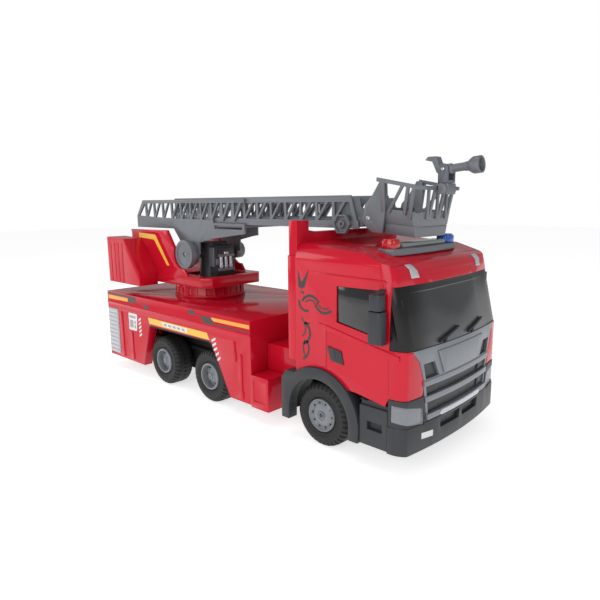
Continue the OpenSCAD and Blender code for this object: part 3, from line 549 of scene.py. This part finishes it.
def ribbed(material, axis, per_metre, strength):
    """Gives a lens ribs that follow each other along one axis."""
    nodes, link = material.node_tree.nodes, material.node_tree.links.new
    where = nodes.new("ShaderNodeTexCoord")
    parts = nodes.new("ShaderNodeSeparateXYZ")
    link(where.outputs["Object"], parts.inputs[0])
    scale = nodes.new("ShaderNodeMath")
    scale.operation = "MULTIPLY"
    scale.inputs[1].default_value = per_metre
    link(parts.outputs[axis], scale.inputs[0])
    wave = nodes.new("ShaderNodeMath")
    wave.operation = "PINGPONG"
    wave.inputs[1].default_value = 0.5
    link(scale.outputs[0], wave.inputs[0])
    link(wave.outputs[0], nodes["Bump"].inputs["Height"])
    nodes["Bump"].inputs["Strength"].default_value = strength
    nodes["Bump"].inputs["Distance"].default_value = 0.0006


SCREEN_BANDS = ((0.10, 0.080), (0.24, 0.047), (0.60, 0.044), (0.878, 0.050),
                (0.882, 0.16), (0.892, 0.16), (0.896, 0.034))


def screen_grey(value):
    return value * 0.96, value, value * 1.06, 1


def screen_material():
    """Smoked screen with a darker header above a thin pale line, a paler foot, and painted shade that darkens it to
    near black towards both side ends.
    """
    material = plastic("smoked screen", (0.05, 0.053, 0.057), 0.26, 0.0, 60, 0.01, 0.0)
    nodes, link = material.node_tree.nodes, material.node_tree.links.new
    skin = nodes["Group"]
    where = nodes.new("ShaderNodeTexCoord")
    parts = nodes.new("ShaderNodeSeparateXYZ")
    link(where.outputs["Object"], parts.inputs[0])
    height = nodes.new("ShaderNodeMapRange")
    height.inputs["From Min"].default_value = SCREEN_FOOT_Z * MM
    height.inputs["From Max"].default_value = SCREEN_HEAD_Z * MM
    link(parts.outputs["Z"], height.inputs["Value"])
    ramp = nodes.new("ShaderNodeValToRGB")
    bands = ramp.color_ramp
    bands.interpolation = "LINEAR"
    bands.elements[0].position, bands.elements[0].color = 0.0, screen_grey(0.105)
    bands.elements[1].position, bands.elements[1].color = 1.0, screen_grey(0.036)
    for place, value in SCREEN_BANDS:
        bands.elements.new(place).color = screen_grey(value)
    link(height.outputs["Result"], ramp.inputs["Fac"])
    # Painted shade: past 52 mm from the middle the screen darkens to near black towards both side ends.
    reach = nodes.new("ShaderNodeMath")
    reach.operation = "ABSOLUTE"
    link(parts.outputs["Y"], reach.inputs[0])
    edge = nodes.new("ShaderNodeMapRange")
    edge.interpolation_type = "SMOOTHSTEP"
    edge.inputs["From Min"].default_value = 0.052
    edge.inputs["From Max"].default_value = 0.092
    link(reach.outputs[0], edge.inputs["Value"])
    tint = nodes.new("ShaderNodeMix")
    tint.data_type = "RGBA"
    tint.inputs[7].default_value = (0.010, 0.0105, 0.0115, 1)
    link(edge.outputs["Result"], tint.inputs[0])
    link(ramp.outputs["Color"], tint.inputs[6])
    link(tint.outputs[2], skin.inputs["Colour"])
    nodes["Principled BSDF"].inputs["Specular IOR Level"].default_value = 0.28
    return material


# ---- pieces ------------------------------------------------------------------

# The width, in millimetres, of each node's softened edges where it isn't 0.5, and the nodes built anew.
WIDTH = {"rear_body": 1.3, "cab_shell": 1.2, "windscreen": 0.6, "turntable": 1.2, "counterweight": 1.6,
         "ladder_base": 0.35, "ladder_middle": 0.35, "ladder_top": 0.35, "basket_rails": 0.4,
         "chassis_screws": 0.2, "grille": 0.5, "front_bumper": 0.9, "wipers": 0.2, "door_handles": 0.4,
         "fender_right": 1.0, "fender_left": 1.0, "beacon_red": 1.0, "beacon_blue": 1.0, "light_bar_lens": 1.0}
REBUILT = ("tyres_front", "tyres_middle", "tyres_rear", "grille_mesh")


def settings():
    """The values of the panel."""
    return bpy.context.scene.fire_engine


class FireEngineSettings(bpy.types.PropertyGroup):
    """Sizes and colours of the toy's looks"""

    softness: bpy.props.FloatProperty(
        name="Edge softness", description="How far the moulded edges are rounded, as a share of the usual",
        default=1.0, min=0.2, max=1.5, subtype="FACTOR")
    lug_count: bpy.props.IntProperty(
        name="Tread lugs", description="Lugs round each shoulder of a tyre", default=34, min=12, max=48)
    lug_depth: bpy.props.FloatProperty(
        name="Tread depth", description="Depth of the grooves between the lugs", default=0.0013,
        min=0.0003, max=0.003, precision=4, subtype="DISTANCE", unit="LENGTH")
    sticker_depth: bpy.props.FloatProperty(
        name="Sticker thickness", description="How far a sticker stands off the body", default=0.00012,
        min=0.00005, max=0.0005, precision=5, subtype="DISTANCE", unit="LENGTH")
    seam_width: bpy.props.FloatProperty(
        name="Seam width", description="Width of the joints between panels", default=0.0005,
        min=0.0002, max=0.0012, precision=4, subtype="DISTANCE", unit="LENGTH")
    red: bpy.props.FloatVectorProperty(
        name="Body red", description="Colour of the bodywork", default=FINISH["red"][0], size=3,
        min=0.0, max=1.0, subtype="COLOR")
    band: bpy.props.FloatVectorProperty(
        name="Band yellow", description="Colour of the broad sticker band",
        default=EXTRA["sticker yellow"][0], size=3, min=0.0, max=1.0, subtype="COLOR")


class FIRE_OT_mouldings(bpy.types.Operator):
    """Soften the edges of the moulded parts and give them their finishes"""

    bl_idname = "fire_engine.mouldings"
    bl_label = "Softened mouldings"

    def execute(self, context):
        share = settings().softness
        for node in SLOT_OF:
            if node not in REBUILT:
                refined(node, WIDTH.get(node, 0.5) * share, 2)
        bpy.data.objects["soft_windscreen"].data.materials[0] = screen_material()
        lip = bpy.data.objects["soft_rear_mudguards"]
        lip.data.materials.append(material_for("red"))
        for face in lip.data.polygons:
            if face.center.x < MUDGUARD_LIP_X * MM:
                face.material_index = 1
        ribbed(made["lamp_lens"], "Y", 300, 0.9)
        ribbed(made["beacon_red"], "Y", 260, 0.35)
        ribbed(made["beacon_blue"], "Y", 260, 0.35)
        return {"FINISHED"}


def tyre_profile():
    """A tyre's closed section, as radius and place across it; half lists one side, from bead to tread."""
    half = [
        (20.6, 13.6), (22.2, 14.2), (22.9, 15.3), (23.6, 15.4), (24.2, 14.9), (25.4, 15.3),
        (26.6, 16.0), (27.1, 16.6), (27.8, 16.6), (28.3, 16.2), (30.2, 16.7), (32.4, 16.6),
        (34.0, 16.2), (36.2, 15.2), (38.2, 13.6), (39.4, 11.8), (39.9, 8.2), (40.0, 3.0),
    ]
    return [(r, -y) for r, y in half] + [(r, y) for r, y in reversed(half)] + [(19.8, 13.0), (19.8, -13.0)]


class FIRE_OT_tyres(bpy.types.Operator):
    """Turn the tyres, with their sidewall rings, and press the lugs of the tread"""

    bl_idname = "fire_engine.tyres"
    bl_label = "Tyres with tread"

    def execute(self, context):
        lugs = settings().lug_count
        depth = settings().lug_depth
        segments = lugs * 4
        first = lathe(tyre_profile(), (0, 0, 0), segments)
        for low, high, turn in ((13.0, 16.5, 0), (7.0, 13.0, 0), (-0.1, 3.2, 2)):
            edit(first)

            def groove(middle, normal):
                angle = math.atan2(middle.z, middle.x) / (2 * math.pi) * segments
                across, out = abs(middle.y) / MM, math.hypot(middle.x, middle.z) / MM
                step = int(math.floor(angle + segments)) + (2 if middle.y < 0 else 0) + turn
                return step % 4 == 0 and low < across < high and out > 34.5
            pick_faces(first, groove)
            bpy.ops.mesh.extrude_region_shrink_fatten(TRANSFORM_OT_shrink_fatten={"value": -depth})
            leave_edit()
        bevel(first, 0.22, 1, 50)
        smooth(first, 40)
        for name, x in AXLES.items():
            pair = []
            for side in (-1, 1):
                tyre = first.copy()
                tyre.data = first.data.copy()
                context.scene.collection.objects.link(tyre)
                tyre.location = (x * MM, side * TYRE_Y * MM, AXLE_Z * MM)
                tyre.rotation_euler = (0, math.radians(x % 37), 0)
                pair.append(settle(tyre))
            tyres = joined(pair)
            finish_piece(tyres, "tread_tyres_" + name, name + "_wheels", material_for("tyre"))
            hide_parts("tyres_" + name)
        bpy.data.objects.remove(first, do_unlink=True)
        return {"FINISHED"}


class FIRE_OT_rim_faces(bpy.types.Operator):
    """Turn the slotted discs, with their hub caps, inside the rims of the two rear axles"""

    bl_idname = "fire_engine.rim_faces"
    bl_label = "Rim faces"

    def execute(self, context):
        profile = [(19.4, -11.8), (17.0, -11.4), (14.6, -12.6), (11.6, -13.4), (8.6, -14.6), (6.2, -15.6),
                   (4.9, -16.0), (4.2, -17.4), (3.4, -17.8), (0.9, -17.8), (0.9, -9.0), (19.4, -9.0)]
        disc = lathe(profile, (0, 0, 0), 60)
        edit(disc)

        def slot_face(middle, normal):
            angle = (math.degrees(math.atan2(middle.z, middle.x)) + 360) % 60
            out = math.hypot(middle.x, middle.z) / MM
            return middle.y < -10.8 * MM and 12.0 < out < 18.8 and angle < 24
        pick_faces(disc, slot_face)
        bpy.ops.mesh.extrude_region_move(TRANSFORM_OT_translate={"value": (0, SLOT_DEPTH * MM, 0)})
        leave_edit()
        disc.data.materials.append(material_for("rim_grey"))
        disc.data.materials.append(extra("seam shadow"))
        for face in disc.data.polygons:
            middle = face.center
            out = math.hypot(middle.x, middle.z) / MM
            sunk = slot_face(middle + Vector((0, -SLOT_DEPTH * MM, 0)), None)
            faces_out = middle.y < -8.5 * MM and face.normal.y < -0.5
            if out < 1.0 or (sunk and faces_out and not slot_face(middle, None)):
                face.material_index = 1
        smooth(disc, 35)
        for name in ("middle", "rear"):
            pair = []
            for side in (-1, 1):
                face = disc.copy()
                face.data = disc.data.copy()
                context.scene.collection.objects.link(face)
                face.location = (AXLES[name] * MM, side * RIM_FACE_Y * MM, AXLE_Z * MM)
                face.rotation_euler = (0, math.radians(14), math.pi if side > 0 else 0)
                pair.append(settle(face))
            faces = joined(pair)
            faces.name = faces.data.name = "rim_faces_" + name
            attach(faces, name + "_wheels")
        bpy.data.objects.remove(disc, do_unlink=True)
        return {"FINISHED"}


def sticker(outline, level, lift=0.0):
    """A thin plate on the right side of the body, in X and Z."""
    depth = settings().sticker_depth / MM
    return slab(outline, "Y", -level + 0.02, -level - depth - lift)


def both_sides(pieces, name, body, material):
    """Joins the pieces, and puts their twins on the left side."""
    right = joined(pieces)
    left = twin(right)
    for piece, side in ((right, "right"), (left, "left")):
        finish_piece(piece, name + "_" + side, body, material)
    return right, left


def bar(x0, x1, z0, z1, slant):
    """The outline of an upright or leaning bar between two heights."""
    return [(x0, z0), (x1, z0), (x1 + slant, z1), (x0 + slant, z1)]


class FIRE_OT_body_stickers(bpy.types.Operator):
    """Lay the bands, hatching and plain labels on the sides of the rear body"""

    bl_idname = "fire_engine.body_stickers"
    bl_label = "Stickers on the body"

    def execute(self, context):
        yellow = [sticker([(-188.0, 108.6), (-184.3, 98.6), (-21.8, 98.6), (-27.6, 108.6)], SIDE)]
        both_sides(yellow, "band", "vehicle", extra("sticker yellow"))

        white = [sticker([(-148.5, 107.0), (-143.0, 100.2), (-76.0, 100.2), (-78.6, 107.0)], SIDE, 0.05)]
        for x, z in ((-215.0, 100.6), (-214.7, 94.0), (-214.4, 87.4), (-214.0, 80.8), (-213.6, 74.2)):
            stroke = [(x - 4.2, z - 3.6), (x - 4.2, z), (x + 3.6, z + 4.4), (x + 3.6, z + 0.8)]
            white.append(sticker(stroke, SIDE, 0.03))
        for x, z, left in ((-12.0, 100.2, 4.6), (-10.8, 93.6, 4.2), (-8.6, 87.0, 3.4),
                           (-5.4, 80.2, 2.6), (-2.0, 73.6, 2.4)):
            stroke = [(x - left, z - 3.6), (x - left, z), (x + 4.4, z + 4.6), (x + 4.4, z + 1.0)]
            white.append(sticker(stroke, SIDE, 0.03))
        label = sticker([(-251.0, 80.4), (-249.6, 79.0), (-227.0, 79.0), (-225.6, 80.4), (-222.8, 107.4),
                         (-224.2, 108.8), (-249.8, 108.8), (-251.2, 107.4)], SIDE, 0.0)
        white.append(label)
        both_sides(white, "pale_stickers", "vehicle", extra("sticker white"))

        grey = [sticker(bar(-248.5, -228.5, 100.5, 104.5, 0.3), SIDE, 0.06),
                sticker(bar(-248.5, -236.5, 83.5, 96.5, 0.3), SIDE, 0.06),
                sticker(bar(-233.5, -228.6, 91.0, 96.5, 0.3), SIDE, 0.06),
                sticker(bar(-233.5, -228.6, 83.5, 89.0, 0.3), SIDE, 0.06)]
        for i in range(5):
            grey.append(sticker(bar(-139.5 + i * 12.2, -131.5 + i * 12.2, 101.8, 105.2, -1.4), SIDE, 0.10))
        both_sides(grey, "grey_blocks", "vehicle", extra("sticker grey"))

        orange = [sticker([(-319.5, 126.3), (-249.0, 127.6), (-249.0, 133.6), (-319.5, 133.2)], SIDE),
                  sticker([(-14.0, 128.2), (66.4, 128.6), (66.4, 134.0), (-16.5, 133.2)], SIDE)]
        both_sides(orange, "upper_band", "vehicle", extra("sticker orange"))

        black = [sticker(outline, SIDE, lift) for lift, outline in (
            (0.0, [(-319.5, 134.6), (-319.5, 138.2), (-252.0, 138.2), (-250.5, 134.8)]),
            (0.05, [(-251.0, 128.0), (-245.5, 126.6), (-232.0, 127.6), (-222.5, 133.2), (-226.5, 138.2),
                    (-247.0, 138.2), (-250.5, 134.0)]),
            (0.04, [(-226.0, 130.0), (-198.0, 127.6), (-197.0, 128.6), (-224.0, 131.6)]),
            (0.05, [(-199.5, 126.2), (-195.0, 122.0), (-187.5, 122.6), (-183.0, 126.4), (-187.0, 129.4),
                    (-196.0, 129.0)]),
            (0.05, [(-74.0, 134.0), (-69.5, 130.4), (-60.5, 130.6), (-53.5, 134.0), (-57.5, 137.8),
                    (-70.5, 137.2)]),
            (0.04, [(-56.0, 133.2), (-36.0, 128.4), (-35.0, 129.6), (-55.0, 134.4)]),
            (0.05, [(-41.0, 128.6), (-33.0, 122.4), (-15.0, 122.6), (-10.5, 127.8), (-17.5, 132.8),
                    (-37.0, 133.0)]),
            (0.03, [(-16.0, 122.0), (66.4, 123.4), (66.4, 125.2), (-13.0, 124.2)]),
        )]
        both_sides(black, "dark_flashes", "vehicle", extra("sticker black"))
        return {"FINISHED"}


class FIRE_OT_cab_stickers(bpy.types.Operator):
    """Lay plain curved strokes on the sides of the cab"""

    bl_idname = "fire_engine.cab_stickers"
    bl_label = "Strokes on the cab"

    def execute(self, context):
        level = -CAB_SIDE + 0.02
        depth = -settings().sticker_depth / MM - 0.02
        strokes = [  # centre, radius, start and sweep in degrees, width
            ((178, 172), 15, 30, 120, 3.4), ((178, 172), 10, 40, 100, 2.0),
            ((170, 178), 10, 170, 130, 3.2), ((199, 184), 15, 205, 110, 3.4),
            ((199, 187), 13, 215, 90, 1.8), ((163, 141), 14, -75, 140, 3.6),
            ((159, 146), 11, -60, 100, 2.0), ((160, 122), 15, -70, 110, 3.0),
            ((182, 122), 16, 140, 80, 2.4), ((172, 161), 8, 190, 110, 2.2),
        ]
        pieces = []
        for centre, radius, start, sweep, width in strokes:
            pieces.append(arc_ribbon(centre, radius, start, sweep, width, level, depth))
        for outline in ([(157.5, 217.0), (158.6, 196.0), (164.0, 193.6), (163.0, 203.0)],
                        [(163.4, 201.5), (164.6, 194.4), (168.6, 196.2), (175.4, 217.4)],
                        [(160.0, 190.5), (168.0, 187.5), (167.0, 191.5)]):
            pieces.append(slab(outline, "Y", level, level + depth))
        both_sides(pieces, "strokes", "vehicle", extra("sticker black"))
        return {"FINISHED"}


class FIRE_OT_fin_stripes(bpy.types.Operator):
    """Lay the bent yellow stripe on the outer faces of the turntable's fins"""

    bl_idname = "fire_engine.fin_stripes"
    bl_label = "Stripes on the fins"

    def execute(self, context):
        stripes = [sticker([(-280.3, 236.2), (-231.2, 233.6), (-226.4, 242.4), (-279.4, 244.6)], FIN_SIDE),
                   sticker([(-231.2, 233.6), (-226.4, 242.4), (-187.6, 191.6), (-194.6, 191.2)], FIN_SIDE)]
        both_sides(stripes, "fin_stripe", "slewing_deck", extra("sticker yellow"))
        return {"FINISHED"}


def nose_plate(outline, inset, thick, step=6):
    """A plate in Y and Z that follows the bowed nose, with its front face inset behind it."""
    return bowed(slab(outline, "X", NOSE_X - inset - thick, NOSE_X - inset), step)


class FIRE_OT_front(bpy.types.Operator):
    """Build the net behind the grille, the centre plate, the bright bar and the joints of the bumper"""

    bl_idname = "fire_engine.front"
    bl_label = "Front of the cab"

    def execute(self, context):
        net = nose_plate([(-70, 40), (70, 40), (84, 128), (-84, 128)], 3.2, 1.6, 7)
        finish_piece(net, "net", "vehicle", mesh_material())
        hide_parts("grille_mesh")

        centre = nose_plate([(-54.5, 134.5), (-52.0, 129.0), (-41.5, 107.2),
                             (41.5, 107.2), (52.0, 129.0), (54.5, 134.5)], -1.6, 1.4)
        bevel(centre, 0.5, 2, 40)
        smooth(centre, 30)
        finish_piece(centre, "centre_plate", "vehicle", material_for("silver_grey"))

        bright = nose_plate([(-49, 60.2), (-46, 58.6), (46, 58.6), (49, 60.2), (46.5, 64.6), (-46.5, 64.6)],
                            -2.9, 0.9)
        bevel(bright, 0.4, 2, 40)
        smooth(bright, 30)
        finish_piece(bright, "bright_bar", "vehicle", extra("bright trim"))

        half = settings().seam_width / MM / 2
        seams = []
        for y in (-63.0, 63.0):
            joint = [(y - half, 27.5), (y + half, 27.5), (y * 1.06 + half, 57), (y * 1.06 - half, 57)]
            seams.append(nose_plate(joint, -1.46, 0.3, 200))
        for y0, y1, z in ((-74, -49, 95.6), (49, 74, 95.6), (-73, -50, 76.8), (50, 73, 76.8)):
            seams.append(nose_plate([(y0, z - half), (y1, z - half), (y1, z + half), (y0, z + half)], 2.2, 0.6))
        finish_piece(joined(seams), "bumper_joints", "vehicle", extra("seam shadow"))

        blocks = []
        for side in (-1, 1):
            for z0, z1, inner, outer in ((87.6, 96.4, 49, 74.5), (66.8, 78.4, 49, 72.5)):
                block = [(side * inner, z0), (side * outer, z0), (side * (outer + 1), z1), (side * (inner + 3.5), z1)]
                blocks.append(nose_plate(block, 1.6, 1.5))
        housings = joined(blocks)
        bevel(housings, 0.5, 2, 40)
        smooth(housings, 30)
        finish_piece(housings, "grille_housings", "vehicle", material_for("dark_trim"))

        plate = nose_plate([(-60, 37.5), (-81, 39.5), (-81, 46.5), (-60, 44.5)], -1.5, 0.25, 4)
        finish_piece(plate, "front_label", "vehicle", extra("sticker white"))
        return {"FINISHED"}


def upright(x, y, radius, low, high):
    """A round post that stands on the deck."""
    turns = [i * math.pi / 8 for i in range(16)]
    return slab([(x + radius * math.cos(turn), y + radius * math.sin(turn)) for turn in turns], "Z", low, high)


class FIRE_OT_lift_drive(bpy.types.Operator):
    """Build the posts, caps and box on the front of the ladder's pedestal"""

    bl_idname = "fire_engine.lift_drive"
    bl_label = "Lift drive"

    def execute(self, context):
        face = DRIVE_X
        dull = [slab([(face - 8, -16), (face + 4, -16), (face + 4, 16), (face - 8, 16)], "Z", 207, 211.5),
                slab([(face - 8, -17), (face + 3, -17), (face + 3, 17), (face - 8, 17)], "Z", 183, 188),
                slab([(face - 3, -19.6), (face + 2, -19.6), (face + 2, -8), (face - 3, -8)], "Z", 194, 204)]
        for y in (-19.6, 17.6):
            dull.append(slab([(face - 24, y), (face - 6, y), (face - 6, y + 2), (face - 24, y + 2)], "Z", 190, 222))
        box = joined(dull)
        bevel(box, 0.7, 2, 40)
        smooth(box, 35)
        finish_piece(box, "drive_case", "slewing_deck", material_for("ladder_grey"))
        posts = []
        for y in (-11, -1, 9):
            posts.append(upright(face + 1.4, y, 2.8, 188, 207))
            posts.append(upright(face + 1.4, y, 3.6, 190, 192.5))
        posts.append(upright(face + 0.5, -1, 5.5, 211.5, 215))
        rods = joined(posts)
        bevel(rods, 0.3, 2, 50)
        smooth(rods, 40)
        finish_piece(rods, "drive_posts", "slewing_deck", extra("bright trim"))
        return {"FINISHED"}


class FIRE_OT_liners(bpy.types.Operator):
    """Close the wheel openings with black sheets, which keep the insides of the arches dark"""

    bl_idname = "fire_engine.liners"
    bl_label = "Wheel arch liners"

    def execute(self, context):
        section = [(47.6, 0), (49.0, 0), (49.0, 19), (47.6, 19)]
        hollow = lathe(section, (AXLES["front"], -98.2, AXLE_Z), 96)
        edit(hollow)
        bpy.ops.mesh.select_all(action="SELECT")
        bpy.ops.mesh.bisect(plane_co=(0, 0, 0.036), plane_no=(0, 0, -1), clear_outer=True, use_fill=True)
        leave_edit()
        smooth(hollow, 30)
        both_sides([hollow], "front_arch_sheet", "vehicle", material_for("black_plastic"))

        far, near = 104.8, 61.5
        plates = [slab([(-188, 98.2), (-15, 99.4), (-15, 100.8), (-188, 99.6)], "Y", -far, -near),
                  slab([(-15, 100.8), (-14.6, 97.2), (20.0, 33), (22.4, 33)], "Y", -far, -near),
                  slab([(-140, 24), (-44, 24), (-40, 66), (-144, 66)], "Y", -64.0, -62.6),
                  slab([(-180, 64.8), (8, 64.8), (-13, 99), (-180, 99)], "Y", -64.0, -62.6)]
        both_sides(plates, "rear_arch_sheet", "vehicle", material_for("black_plastic"))
        return {"FINISHED"}


class FIRE_OT_cab_details(bpy.types.Operator):
    """Add the gutters and the door joints on the sides of the cab"""

    bl_idname = "fire_engine.cab_details"
    bl_label = "Cab pressings"

    def execute(self, context):
        half = settings().seam_width / MM / 2
        root, foot = -CAB_SIDE + 0.4, -CAB_SIDE + 0.3
        gutters = [slab([(178, 213.4), (180, 216.2), (282, 214.6), (286, 212.2)], "Y", root, -CAB_SIDE - 0.7),
                   slab([(160, 105.2), (200.4, 103.8), (200.4, 104.6), (160, 106.0)], "Y", root, -CAB_SIDE - 0.2)]
        for piece in gutters:
            bevel(piece, 0.45, 2, 40)
        ridge = joined(gutters)
        smooth(ridge, 40)
        both_sides([ridge], "gutter", "vehicle", material_for("red"))
        rear_joint = [(201.9 - half, 104), (201.9 + half, 104), (201.9 + half, 153), (201.9 - half, 153)]
        front_joint = [(289.2 - half, 90), (289.2 + half, 90), (288.2 + half, 133), (288.2 - half, 133)]
        seams = [slab(rear_joint, "Y", foot, -CAB_SIDE - 0.45), slab(front_joint, "Y", foot, -CAB_SIDE - 0.05)]
        both_sides(seams, "door_joints", "vehicle", extra("red seam"))
        return {"FINISHED"}


CAMERA_PLACE = (0.5896, -0.5668, 0.2946)
CAMERA_TURN, CAMERA_TILT, CAMERA_ROLL = 0.754, 0.181, -0.008
LAMPS = (  # name, place, size, watts
    ("key softbox", (0.5, -1.7, 0.75), (1.6, 0.9), 11.5),
    ("top softbox", (-0.2, -0.3, 1.9), (1.0, 0.6), 5),
    ("front softbox", (1.9, -0.3, 0.9), (0.6, 1.0), 3.2),
    ("rear softbox", (-1.5, -1.0, 0.7), (0.7, 0.8), 4),
)
LAMPS_AIM = Vector((0, 0, 0.15))


class FIRE_OT_stage(bpy.types.Operator):
    """Put the toy on a pale floor, under soft lamps, with a camera"""

    bl_idname = "fire_engine.stage"
    bl_label = "Stage"

    def execute(self, context):
        scene = context.scene
        scene.view_settings.view_transform = "Standard"
        deselect_all()
        bpy.ops.mesh.primitive_plane_add(size=12, location=(0, 0, 0))
        floor = context.object
        floor.name = "floor"
        paper = bpy.data.materials.new("pale paper")
        paper.use_nodes = True
        sheet = paper.node_tree.nodes["Principled BSDF"]
        sheet.inputs["Base Color"].default_value = (0.8, 0.8, 0.8, 1)
        sheet.inputs["Roughness"].default_value = 0.8
        sheet.inputs["Specular IOR Level"].default_value = 0.1
        sheet.inputs["Emission Color"].default_value = (1, 1, 1, 1)
        sheet.inputs["Emission Strength"].default_value = 0.66
        floor.data.materials.append(paper)

        world = bpy.data.worlds.new("soft room")
        scene.world = world
        world.use_nodes = True
        nodes, link = world.node_tree.nodes, world.node_tree.links.new
        sky = nodes["Background"]
        sky.inputs["Color"].default_value = (1, 1, 1, 1)
        seen = nodes.new("ShaderNodeLightPath")
        strength = nodes.new("ShaderNodeMapRange")
        strength.inputs["To Min"].default_value = 0.38
        strength.inputs["To Max"].default_value = 1.0
        link(seen.outputs["Is Camera Ray"], strength.inputs["Value"])
        link(strength.outputs["Result"], sky.inputs["Strength"])

        for name, place, size, power in LAMPS:
            light = bpy.data.lights.new(name, "AREA")
            light.shape = "RECTANGLE"
            light.size, light.size_y = size
            light.energy = power
            lamp = bpy.data.objects.new(name, light)
            lamp.location = place
            lamp.rotation_mode = "QUATERNION"
            lamp.rotation_quaternion = (LAMPS_AIM - Vector(place)).to_track_quat("-Z", "Y")
            scene.collection.objects.link(lamp)

        lens = bpy.data.cameras.new("camera")
        lens.sensor_width = 36
        lens.lens = 31.85
        camera = bpy.data.objects.new("camera", lens)
        scene.collection.objects.link(camera)
        turn, tilt, roll = CAMERA_TURN, CAMERA_TILT, CAMERA_ROLL
        ahead = Vector((-math.sin(turn) * math.cos(tilt), math.cos(turn) * math.cos(tilt), -math.sin(tilt)))
        side = Vector((math.cos(turn), math.sin(turn), 0))
        up = side.cross(ahead)
        right = math.cos(roll) * side + math.sin(roll) * up
        top = -math.sin(roll) * side + math.cos(roll) * up
        place = Vector(CAMERA_PLACE)
        camera.matrix_world = Matrix((
            (right.x, top.x, -ahead.x, place.x),
            (right.y, top.y, -ahead.y, place.y),
            (right.z, top.z, -ahead.z, place.z),
            (0, 0, 0, 1),
        ))
        lens.clip_start, lens.clip_end = 0.02, 40
        scene.camera = camera
        return {"FINISHED"}


class FIRE_PT_sidebar(bpy.types.Panel):
    """Everything that the fire engine's looks are made of"""

    bl_idname = "FIRE_PT_sidebar"
    bl_label = "Toy Fire Engine"
    bl_space_type = "VIEW_3D"
    bl_region_type = "UI"
    bl_category = "Fire Engine"

    def draw(self, context):
        layout = self.layout
        values = context.scene.fire_engine
        for name in ("softness", "lug_count", "lug_depth", "sticker_depth", "seam_width", "red", "band"):
            layout.prop(values, name)
        for step in STEPS:
            layout.operator(step.bl_idname)


STEPS = (FIRE_OT_mouldings, FIRE_OT_tyres, FIRE_OT_rim_faces, FIRE_OT_body_stickers,
         FIRE_OT_cab_stickers, FIRE_OT_fin_stripes, FIRE_OT_front, FIRE_OT_lift_drive,
         FIRE_OT_liners, FIRE_OT_cab_details, FIRE_OT_stage)
CLASSES = (FireEngineSettings, *STEPS, FIRE_PT_sidebar)


def register():
    for cls in CLASSES:
        bpy.utils.register_class(cls)
    bpy.types.Scene.fire_engine = bpy.props.PointerProperty(type=FireEngineSettings)


def unregister():
    del bpy.types.Scene.fire_engine
    for cls in reversed(CLASSES):
        bpy.utils.unregister_class(cls)


def main():
    register()
    bpy.ops.fire_engine.mouldings()
    bpy.ops.fire_engine.tyres()
    bpy.ops.fire_engine.rim_faces()
    bpy.ops.fire_engine.body_stickers()
    bpy.ops.fire_engine.cab_stickers()
    bpy.ops.fire_engine.fin_stripes()
    bpy.ops.fire_engine.front()
    bpy.ops.fire_engine.lift_drive()
    bpy.ops.fire_engine.liners()
    bpy.ops.fire_engine.cab_details()
    bpy.ops.fire_engine.stage()
    bpy.context.view_layer.update()


if __name__ == "__main__":
    main()
